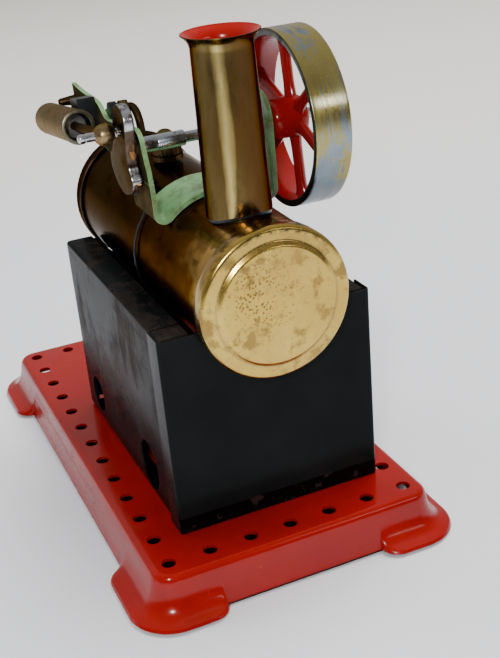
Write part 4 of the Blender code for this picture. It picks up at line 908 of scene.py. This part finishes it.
def make_chimney():
    x, y = CHIMNEY
    low = BOILER_Z + 15
    height = CHIMNEY_TOP - low
    t, r0, r1, rim = 0.55, 9.4, 8.5, 10.7
    outer = [(0, r0)]
    for k in range(1, 25):
        s = k / 24
        outer.append((s * (height - 4.2), r0 + (r1 - r0) * s))
    for k in range(1, 11):
        s = k / 10
        outer.append((height - 4.2 + 3.95 * s, r1 + (rim - r1) * s ** 2.4))
    lip = [(height - 0.08, rim - 0.02), (height, rim - 0.16), (height - 0.02, rim - 0.36)]
    inner = []
    for k in range(10):
        s = 1 - k / 10
        inner.append((height - 0.12 - 3.9 * (1 - s) - 0.1, r1 - t + (rim - 0.5 - r1 + t) * s ** 2.4))
    inner += [(height - 4.4, r1 - t), (0, r0 - t)]
    axis = (0, -sin(CHIMNEY_LEAN), cos(CHIMNEY_LEAN))
    bm = lathe(outer + lip + inner, (x, y, low), axis, 128)
    bm = cut(bm, boiler_cutter(BOILER_R + 1, x - 20, x + 20))
    stack = finish_mesh("chimney_stack", bm, [CHIMNEY_OUT, CHIMNEY_RED], "chimney")
    # Painted shade: a dark sleeve inside the chimney's foot fills the gap above the boiler, dark to stand
    # for the shade there.
    sleeve = [(0, r0 - 1.05), (0, r0 - t + 0.1), (9, r0 - t + 0.1), (9, r0 - 1.05)]
    spigot = cut(lathe(sleeve, (x, y, low), axis, 96), boiler_cutter(BOILER_R + 0.1, x - 20, x + 20))
    finish_mesh("chimney_spigot", spigot, [DARK_STEEL], "chimney", replaces=())
    direction = Vector(axis)

    def side(center, normal):
        offset = center - Vector((x, y, low))
        along = offset.dot(direction)
        radial = offset - direction * along
        flared = along > height - 3.5 and normal.z > 0.35
        inside = flared or normal.dot(radial.normalized()) < -0.05
        return 1 if inside and radial.length < rim - 0.2 else 0

    assign(stack, side)


# Engine frame

def panel_outline():
    """Left panel seen from the cylinder side, in (x, z)."""
    z = BASE_H
    crown = arc(SHAFT, 5.2, radians(5), radians(80), 14)
    start = [(FRAME_X[1], z + 94.5), (FRAME_X[1] - 0.6, z + 101)]
    back = smooth_outline([
        (23, z + 111.2), (13.9, z + 109.8), (6, z + 108.9), (1.9, z + 108.9), (-0.8, z + 110.3),
        (-4, z + 112), (-8.5, z + 112.7), (-21.4, z + 112.8), (-32.4, z + 113.7),
    ], 4, False)
    tip = smooth_outline([
        (-32.4, z + 113.7), (-31.8, z + 110), (-32.6, z + 106.5), (-31.2, z + 101.6),
    ], 4, False)
    low = smooth_outline([
        (-31.2, z + 101.6), (-28, z + 100.2), (-6, z + 99.3), (4, z + 97.8),
        (14, z + 95.2), (FRAME_X[0], z + 94.5),
    ], 4, False)
    return start + crown + [tuple(p) for p in back + tip[1:] + low[1:]]


def fold(seat_r, y):
    """Centre of the bend that joins a leg to the saddle, and its direction from the boiler's axis."""
    rise = sqrt((seat_r + FOLD_R) ** 2 - (y - BOILER_Y) ** 2)
    return (y, BOILER_Z + rise), atan2(rise, y - BOILER_Y)


def make_frame():
    seat_r = BOILER_R + 0.3 + FRAME_T / 2
    left, a_left = fold(seat_r, LEG_LEFT_Y + FOLD_R)
    right, a_right = fold(seat_r, LEG_RIGHT_Y - FOLD_R)
    path = [(LEG_LEFT_Y, LEG_BEND_Z[0] + 5)]
    path += arc(left, FOLD_R, pi, pi + a_left, 14)
    path += arc((BOILER_Y, BOILER_Z), seat_r, a_left, a_right, 24)[1:-1]
    path += arc(right, FOLD_R, pi + a_right, 2 * pi, 14)
    path = [Vector(p) for p in path + [(LEG_RIGHT_Y, RIGHT_TOP_Z)]]
    width = FRAME_X[1] - FRAME_X[0]
    bm = prism(strip(path, FRAME_T), along_x(FRAME_X[0]), width)
    crown = arc(((FRAME_X[0] + FRAME_X[1]) / 2, RIGHT_TOP_Z), width / 2, radians(-6), radians(186), 36)
    bm = boolean(bm, prism(crown, facing(LEG_RIGHT_Y + FRAME_T / 2), FRAME_T), "UNION")
    bm = boolean(bm, prism(panel_outline(), facing(LEG_LEFT_Y + FRAME_T / 2), FRAME_T), "UNION")
    for z in LEG_BEND_Z:
        everything = bm.verts[:] + bm.edges[:] + bm.faces[:]
        bmesh.ops.bisect_plane(bm, geom=everything, plane_co=(0, 0, z), plane_no=(0, 0, 1), dist=1e-4)
    for vert in bm.verts:
        if vert.co.y < BOILER_Y and vert.co.z > LEG_BEND_Z[0]:
            share = min(max((vert.co.z - LEG_BEND_Z[0]) / (LEG_BEND_Z[1] - LEG_BEND_Z[0]), 0), 1)
            vert.co.y += (PANEL_Y - LEG_LEFT_Y) * share
    holes = [(SHAFT, PANEL_Y, 2.55), (SHAFT, LEG_RIGHT_Y, 2.55), (PIVOT, PANEL_Y, 1.58)]
    holes += [(port, PANEL_Y, 0.8) for port in PORTS]
    for (x, z), y, radius in holes:
        bm = cut(bm, rod((x, y - 3, z), (x, y + 3, z), radius, 32))
    obj = finish_mesh("engine_frame_sheet", bm, [GREEN, PANEL], "engine_frame",
                      bevel=0.22, bevel_angle=50)

    def face(center, normal):
        return 1 if normal.y < -0.8 and center.y < -16 else 0

    assign(obj, face)


# Crank and flywheel

def make_shaft():
    sx, sz = SHAFT
    finish_mesh("crank_shaft_bar", rod((sx, -22.4, sz), (sx, 38.4, sz), SHAFT_R, 48, 0.3), [SHAFT_STEEL],
                "crankshaft", "crank")
    sleeve = [(0, SHAFT_R + 0.02), (0, 2), (0.25, 2.3), (4.2, 2.3), (4.35, 2.22), (4.5, 2.3), (12.65, 2.3),
              (12.9, 2), (12.9, SHAFT_R + 0.02)]
    finish_mesh("crank_shaft_sleeve", lathe(sleeve, (sx, -16.5, sz), (0, 1, 0), 56), [SHAFT_STEEL],
                "shaft_sleeve", "crank", angle=40)
    px, pz = PIN_AT
    finish_mesh("crank_pin_turned", rod((px, -23.9, pz), (px, -20.7, pz), 1.25, 36, 0.2), [STEEL],
                "crank_pin", "crank")


def make_web():
    half = [(13.2, 0), (13, 1.8), (12.2, 3.4), (10.9, 4.5), (9, 5.1), (6, 5.5), (2.5, 5.9),
            (-0.6, 6.2), (-2.6, 6.9), (-4.2, 8.2), (-5.4, 9.2), (-6.8, 9.6), (-8.4, 9.2),
            (-10.4, 7.6), (-12, 5.2), (-13, 2.6), (-13.3, 0)]
    outline = smooth_outline(half + [(u, -v) for u, v in half[-2:0:-1]], 4)
    depth = WEB_Y[1] - WEB_Y[0]
    edge = 0.6
    rings = []
    turns = [pi / 2 * k / 5 for k in range(6)]
    profile = [(edge * (1 - sin(a)), edge * (1 - cos(a))) for a in turns]
    stations = profile + [(inset, depth - along) for inset, along in profile[::-1]]
    for inset, along in stations:
        row = []
        for p in outline:
            u2 = p.x * (1 - inset / 13)
            v2 = p.y * (1 - inset / 8)
            row.append((SHAFT[0] + u2 * cos(CRANK_ANGLE) - v2 * sin(CRANK_ANGLE), WEB_Y[0] + along,
                        SHAFT[1] + u2 * sin(CRANK_ANGLE) + v2 * cos(CRANK_ANGLE)))
        rings.append(row)
    bm = loft(rings)
    px, pz = PIN_AT
    bm = cut(bm, rod((px, WEB_Y[0] - 1, pz), (px, WEB_Y[0] + 2.5, pz), 1.27, 36))
    bm = cut(bm, rod((SHAFT[0], -22.5, SHAFT[1]), (SHAFT[0], -18, SHAFT[1]), SHAFT_R + 0.02, 48))
    finish_mesh("crank_web_cast", bm, [WEB], "crank_web", "crank", bevel=0.1)


def spoke(angle):
    """Cast spoke: rounded diamond section with a soft ridge, flared at hub and rim."""
    radial = Vector((cos(angle), 0, sin(angle)))
    across = Vector((-sin(angle), 0, cos(angle)))
    centre = Vector((SHAFT[0], SPOKE_Y, SHAFT[1]))
    rings = []
    for k in range(17):
        t = k / 16
        reach = 3.6 + 21 * t
        flare_hub = max(0, 1 - t / 0.32) ** 2
        flare_rim = max(0, (t - 0.78) / 0.22) ** 2
        wide = 1.85 + 1.5 * flare_hub + 1.5 * flare_rim
        thick = 1.75 + 0.6 * flare_hub + 0.75 * flare_rim
        row = []
        for i in range(24):
            a = 2 * pi * i / 24
            c, s = cos(a), sin(a)
            power = 1.35
            u = copysign(abs(c) ** power, c) * wide
            v = copysign(abs(s) ** power, s) * thick
            row.append(centre + radial * reach + across * u + Vector((0, v, 0)))
        rings.append(row)
    return loft(rings)


def make_wheel():
    sx, sz = SHAFT
    y0, y1 = WHEEL_Y
    depth = y1 - y0
    inner = WHEEL_R - 2.3
    rim = [(0.15, inner + 0.2), (0, inner + 0.45), (0, WHEEL_R - 0.3), (0.06, WHEEL_R - 0.1), (0.3, WHEEL_R)]
    rim += [(depth * k / 8, WHEEL_R) for k in range(1, 8)]
    rim += [(depth - 0.3, WHEEL_R), (depth - 0.06, WHEEL_R - 0.1), (depth, WHEEL_R - 0.3),
            (depth, inner + 0.45), (depth - 0.15, inner + 0.2)]
    for k in range(1, 8):
        t = k / 8
        rim.append((depth * (1 - t), inner + 0.2 - 0.8 * sin(pi * t)))
    bm = lathe(rim, (sx, y0, sz), (0, 1, 0), 160)
    for k in range(6):
        bm = boolean(bm, spoke(SPOKE_PHASE + 2 * pi * k / 6), "UNION")
    hub = [(0, 0), (0, 4), (0.15, 4.6), (0.6, 5.2), (1.4, 5.7), (3, 5.85), (6, 6.1), (8.6, 6.45),
           (9.6, 6.4), (10.6, 6), (11.3, 5.4), (11.6, 4.8), (11.6, 0)]
    bm = boolean(bm, lathe(hub, (sx, 22.4, sz), (0, 1, 0), 56), "UNION")
    bm = cut(bm, rod((sx, 21, sz), (sx, 35, sz), SHAFT_R + 0.02, 48))
    a = SPOKE_PHASE + pi / 6
    place = frame_matrix((sx, 25.8, sz), (cos(a), 0, sin(a)))
    bm = cut(bm, rod(place @ Vector((0, 0, 5)), place @ Vector((0, 0, 9)), 1.35, 32))
    wheel = finish_mesh("flywheel_cast", bm, [WHEEL_RED, TREAD, RIM_DARK], "flywheel", "crank", angle=40)

    def part(center, normal):
        radial = Vector((center.x - sx, 0, center.z - sz))
        if radial.length > WHEEL_R - 0.25 and normal.dot(radial.normalized()) > 0.5:
            return 1
        if radial.length > inner + 0.15 and abs(normal.y) > 0.5:
            return 2
        return 0

    assign(wheel, part)


# Cylinder

PIN = Vector((PIN_AT[0], CYL_Y, PIN_AT[1]))
PIVOT_POINT = Vector((PIVOT[0], CYL_Y, PIVOT[1]))
STROKE = (PIN - PIVOT_POINT).normalized()


def on_axis(s):
    return PIVOT_POINT + STROKE * s


def rocked(x, z):
    return (PIVOT[0] + x * STROKE.x - z * STROKE.z, PIVOT[1] + x * STROKE.z + z * STROKE.x)


def make_cylinder():
    length = CYL_S[1] - CYL_S[0]
    barrel = [(0, BORE_R), (0, CYL_R - 0.15), (0.15, CYL_R)]
    barrel += [(length * k / 12, CYL_R) for k in range(1, 11)]
    barrel += [(length - 1.9, CYL_R), (length - 1.7, CYL_R - 0.12), (length - 1.5, CYL_R + 0.02),
               (length - 1.2, CYL_R + 0.18), (length - 0.45, CYL_R + 0.19), (length - 0.15, CYL_R + 0.08),
               (length, CYL_R - 0.15), (length, BORE_R + 0.3), (length - 0.3, BORE_R)]
    barrel += [(length * k / 8, BORE_R) for k in range(7, 0, -1)]
    bm = lathe(barrel, on_axis(CYL_S[0]), STROKE, 64)
    bm = cut(bm, rod(on_axis(-14), on_axis(-14) + Vector((0, 8, 0)), 0.8, 20))
    obj = finish_mesh("cylinder_tube", bm, [BARREL, BORE, MOUTH], "cylinder_barrel", "cylinder")

    def part(center, normal):
        offset = center - PIVOT_POINT
        along = offset.dot(STROKE)
        radial = offset - STROKE * along
        if radial.length < BORE_R + 0.1 and normal.dot(radial.normalized()) < 0:
            return 1
        return 2 if normal.dot(STROKE) > 0.3 else 0

    assign(obj, part)
    cap = [(2.2, 0), (2.2, BORE_R - 0.05), (-0.05, BORE_R - 0.05), (-0.05, CYL_R)]
    cap += [(-0.45 - 0.5 * sin(pi / 2 * k / 5), CYL_R - 0.6 + 0.6 * cos(pi / 2 * k / 5))
            for k in range(6)]
    cap += [(-0.97, 3), (-1, 0)]
    finish_mesh("cylinder_end_disc", lathe(cap, on_axis(CYL_S[0]), STROKE, 56), [BARREL],
                "cylinder_end_cap", "cylinder", angle=40)
    half = 4.5
    low, high, c = -6, 7, 0.8
    outline = [(-half + c, low), (half - c, low), (half, low + c), (half, high - c),
               (half - c, high), (-half + c, high), (-half, high - c), (-half, low + c)]
    face_y = PANEL_Y - FRAME_T / 2 - 0.1
    block = prism([rocked(x, z) for x, z in outline], facing(face_y), face_y - (CYL_Y + 3.2))
    block = cut(block, rod(on_axis(-20), on_axis(20), CYL_R + 0.05, 72))
    block = cut(block, rod(PIVOT_POINT, (PIVOT[0], PANEL_Y, PIVOT[1]), 1.52, 36))
    finish_mesh("port_block_machined", block, [DARK_STEEL], "cylinder_port_block", "cylinder",
                bevel=0.3, segments=3)
    x, z = rocked(-15.6, 5.2)
    stub = [(0, 0), (0, 1.6), (0.1, 1.7), (2.4, 1.5), (5.4, 1.17), (5.9, 1.05),
            (6.2, 0.8), (6.3, 0.4), (6.3, 0)]
    nozzle = lathe(stub, (x, face_y - 0.5, z), (0, -1, 0), 36)
    nozzle = cut(nozzle, rod(on_axis(-22.6), on_axis(20), CYL_R + 0.05, 72))
    finish_mesh("cylinder_stub", nozzle, [DARK_BRASS], "cylinder_nozzle", "cylinder")


def make_rod():
    reach = (PIN - on_axis(0)).length
    shank = rod(on_axis(4.9), on_axis(reach - 2.2), 1.3, 36, 0.1)
    finish_mesh("piston_rod_drawn", shank, [ROD], "piston_rod", "piston_assembly")
    profile = [(-3.1, 0)]
    for k in range(1, 24):
        a = pi * k / 24
        flat = 0.05 if 9 < k < 15 else 0
        profile.append((-3.1 * cos(a), 3.1 * sin(a) - flat))
    profile.append((3.1, 0))
    bm = lathe(profile, PIN, (0, 1, 0), 48)
    bm = cut(bm, rod(on_axis(reach - 4.1), on_axis(reach - 2.1), 1.32, 36))
    bm = cut(bm, rod((PIN.x, PIN.y - 5, PIN.z), (PIN.x, -29.75, PIN.z), 1.27, 36))
    finish_mesh("big_end_turned", bm, [BALL], "big_end_ball", "piston_assembly", bevel=0.12)
    tip = [(0, 0), (0, 0.8), (0.12, 1.02), (0.4, 1.2), (0.7, 1.25), (1.6, 1.25), (1.75, 1.12), (1.95, 1.12),
           (2.1, 1.25), (5, 1.25), (5, 0)]
    finish_mesh("big_end_pin_turned", lathe(tip, (PIN.x, -34.8, PIN.z), (0, 1, 0), 40), [STEEL],
                "big_end_pin", "piston_assembly", angle=40)


# Fittings

def make_pipe():
    x, z = UNION
    face = PANEL_Y + FRAME_T / 2 + 0.1
    y = face + 3.7
    ex, ey = PIPE_SEAT
    surface = BOILER_Z + sqrt(BOILER_R ** 2 - (ey - BOILER_Y) ** 2)
    control = [
        (x, y, z), (x, y + 1.2, z), (x, y + 2.4, z), (x + 0.9, y + 3.4, z - 0.1),
        (x + 2.6, y + 3.9, z - 1.2), (x + 4.2, y + 4.1, z - 3.6), (x + 5.3, y + 4.1, z - 7.2),
        (ex, y + 3.9, z - 12), (ex, ey, surface + 4), (ex, ey, surface - 2),
    ]
    pipe = sweep(smooth_outline(control, 8, False), 1.25, 28)
    finish_mesh("steam_pipe_bent", pipe, [DARK_BRASS], "steam_pipe")
    body = [(0, 0), (0, 2.15), (0.15, 2.3), (2.25, 2.3), (2.4, 2.15), (2.4, 1.7), (3.2, 1.7), (3.2, 0)]
    finish_mesh("steam_union_turned", lathe(body, (x, face, z), (0, 1, 0), 40), [DARK_STEEL],
                "steam_union", angle=40)
    turns = [radians(60 * k + 10) for k in range(6)]
    nut = prism([(x + 2.5 * cos(a), z + 2.5 * sin(a)) for a in turns], facing(face + 5.9), 2.6)
    nut = cut(nut, rod((x, face + 2, z), (x, face + 8, z), 1.4, 32))
    finish_mesh("steam_union_hex", nut, [OLIVE_BRASS], "steam_union_nut", bevel=0.25, segments=3)


def make_valve():
    x, y, top = VALVE_X, BOILER_Y, BOILER_Z + BOILER_R
    dome = [(5.25, 0.75), (5.25, 3.1), (5.4, 3.28), (6.4, 3.3)]
    dome += [(6.6 + 3.5 * sin(pi / 2 * k / 9), 3.28 * cos(pi / 2 * k / 9) ** 0.9)
             for k in range(1, 9)]
    dome += [(10.1, 0), (7.5, 0), (7.5, 0.75)]
    finish_mesh("safety_valve_dome", lathe(dome, (x, y, top), (0, 0, 1), 48), [OLIVE_BRASS],
                "safety_valve_cap", "safety_valve", angle=40)
    body = [(-3.6, 0.95), (-3.6, 2.1), (2.35, 2.1), (2.35, 4.7), (2.5, 4.9)]
    body += [(4.5, 4.9), (4.9, 4.75), (5.1, 4.4), (5.1, 0.95)]
    seat = knurl(lathe(body, (x, y, top), (0, 0, 1), 96), x, y, top)
    finish_mesh("safety_valve_seat", seat, [DARK_BRASS], "safety_valve_body", angle=30)


def knurl(bm, x, y, top):
    """Shallow flutes round the widest band of the valve body."""
    for vert in bm.verts:
        dx, dy = vert.co.x - x, vert.co.y - y
        r = hypot(dx, dy)
        if r > 4.8 and 2.4 < vert.co.z - top < 4.95:
            a = atan2(dy, dx)
            k = 1 - 0.03 * (0.5 + 0.5 * cos(24 * a))
            vert.co.x, vert.co.y = x + dx * k, y + dy * k
    return bm


PLAIN = {
    "frame_clamp_wire": DARK_STEEL,
    "bearing_bush_left": OLIVE_BRASS,
    "bearing_bush_right": OLIVE_BRASS,
    "steam_pipe_collar": DARK_BRASS,
    "boiler_bush": DARK_BRASS,
    "burner_tray": SOOT_STEEL,
    "burner_fuel_cup": SOOT_STEEL,
}
DULL_NODES = (
    "flywheel_grub_screw", "cylinder_pivot_pin", "pivot_nut", "pivot_spring", "piston",
    "safety_valve_stem", "safety_valve_collar", "safety_valve_spring", "burner_handle",
)
PLAIN.update(dict.fromkeys(DULL_NODES, DULL_STEEL))


def dress_cad_nodes():
    for name, mat in PLAIN.items():
        obj = NODES[name]
        obj.data.materials.clear()
        obj.data.materials.append(mat)
        weld = obj.modifiers.new("weld", "WELD")
        weld.merge_threshold = 1e-6
        round_edges(obj, 0.08, 2, 45)


# Stage

CAMERA_AT = Vector((0.3268, -0.1067, 0.205))
FORWARD = Vector((-0.8417, 0.3345, -0.4238)).normalized()
RIGHT = Vector((0.4037, 0.9111, -0.0827))
LENS = (61.186, 36)


def make_floor():
    g = Graph("floor_paper", Roughness=0.75, Specular_IOR_Level=0.2)
    cloud = g.noise(3, 3)
    color = g.mix(g.ramp(cloud, (0.35, 0), (0.7, 1)), (0.8, 0.82, 0.88), (0.84, 0.86, 0.91))
    far = g.position("X") * -0.929 + g.position("Y") * 0.369
    wall = g.ramp(far / 1000, (0.22, 0), (0.5, 1))
    color = g.mix(wall, color, (0.86, 0.84, 0.8))
    # Painted shadow: the floor is near-black under the base, where it shows through the holes and the gap
    # under the skirt.
    across = abs(g.position("X")) < LIP_HALF[0] - 6
    along = abs(g.position("Y")) < LIP_HALF[1] - 6
    g.set("Base Color", g.mix(across * along, color, (0.01, 0.006, 0.005)))
    g.bump(g.noise(220, 3), 0.05, 0.1)
    bm = bmesh.new()
    bmesh.ops.create_circle(bm, cap_ends=True, segments=96, radius=4)
    floor = add_object("floor", mesh_from(bm, "floor"))
    floor.location.z = -0.2 * MM
    floor.data.materials.append(g.owner)


def area(name, at, to, size, watts, color=(1, 1, 1)):
    light = bpy.data.lights.new(name, "AREA")
    light.shape = "DISK" if size < 0.1 else "SQUARE"
    light.size = size
    light.energy = watts
    light.color = color
    obj = add_object(name, light)
    obj.location = at
    obj.rotation_euler = (Vector(at) - Vector(to)).to_track_quat("Z", "Y").to_euler()
    return obj


def make_stage():
    make_floor()
    beside = CAMERA_AT - FORWARD * 0.15 + RIGHT * -0.05 + Vector((0, 0, 0.04))
    area("lamp_by_camera", beside, (0.02, 0, 0.07), 0.05, 1.6)
    area("window_left", (-0.9, -0.9, 1), (0, 0, 0.06), 0.6, 5, (0.93, 0.96, 1)).visible_glossy = False
    area("ceiling", (-0.2, 0.5, 1.3), (0, 0, 0.05), 1, 25, (1, 0.98, 0.95)).visible_glossy = False
    low_window = area("window_right", (0.75, 0.44, 0.445), (0.055, 0.03, 0.13), 0.34, 0.5, (1, 0.98, 0.9))
    low_window.data.shape = "RECTANGLE"
    low_window.data.size_y = 0.04
    g = Graph("studio", "worlds", "Background", Strength=0.6)
    toward = g.dot(Value(g, g.coords.outputs["Generated"]), (-0.6, 0.08, 0.5))
    g.set("Color", g.ramp(toward * 0.6 + 0.4, (0, (0.03, 0.03, 0.032)), (0.85, (0.92, 0.9, 0.87))))
    bpy.context.scene.world = g.owner
    camera = bpy.data.cameras.new("camera")
    camera.lens, camera.sensor_width = LENS
    camera.clip_start = 0.01
    obj = add_object("camera", camera)
    obj.location = CAMERA_AT
    up = RIGHT.cross(FORWARD).normalized()
    right = FORWARD.cross(up).normalized()
    rotation = Matrix((right, up, -FORWARD)).transposed()
    obj.rotation_euler = rotation.to_euler()
    bpy.context.scene.camera = obj


make_base()
end_plate("firebox_plate_front", "firebox_front_end", BOX_X[1], -1, 0)
end_plate("firebox_plate_rear", "firebox_rear_end", BOX_X[0], 1, 2 * (SHEET_T + WRAP_GAP))
side_wall("firebox_wall_left", "firebox_left_side", BOX_Y[0], 1, BLACK_WORN)
side_wall("firebox_wall_right", "firebox_right_side", BOX_Y[1], -1, BLACK_WORN)
make_boiler()
make_chimney()
make_frame()
make_shaft()
make_web()
make_wheel()
make_cylinder()
make_rod()
make_pipe()
make_valve()
dress_cad_nodes()
make_stage()
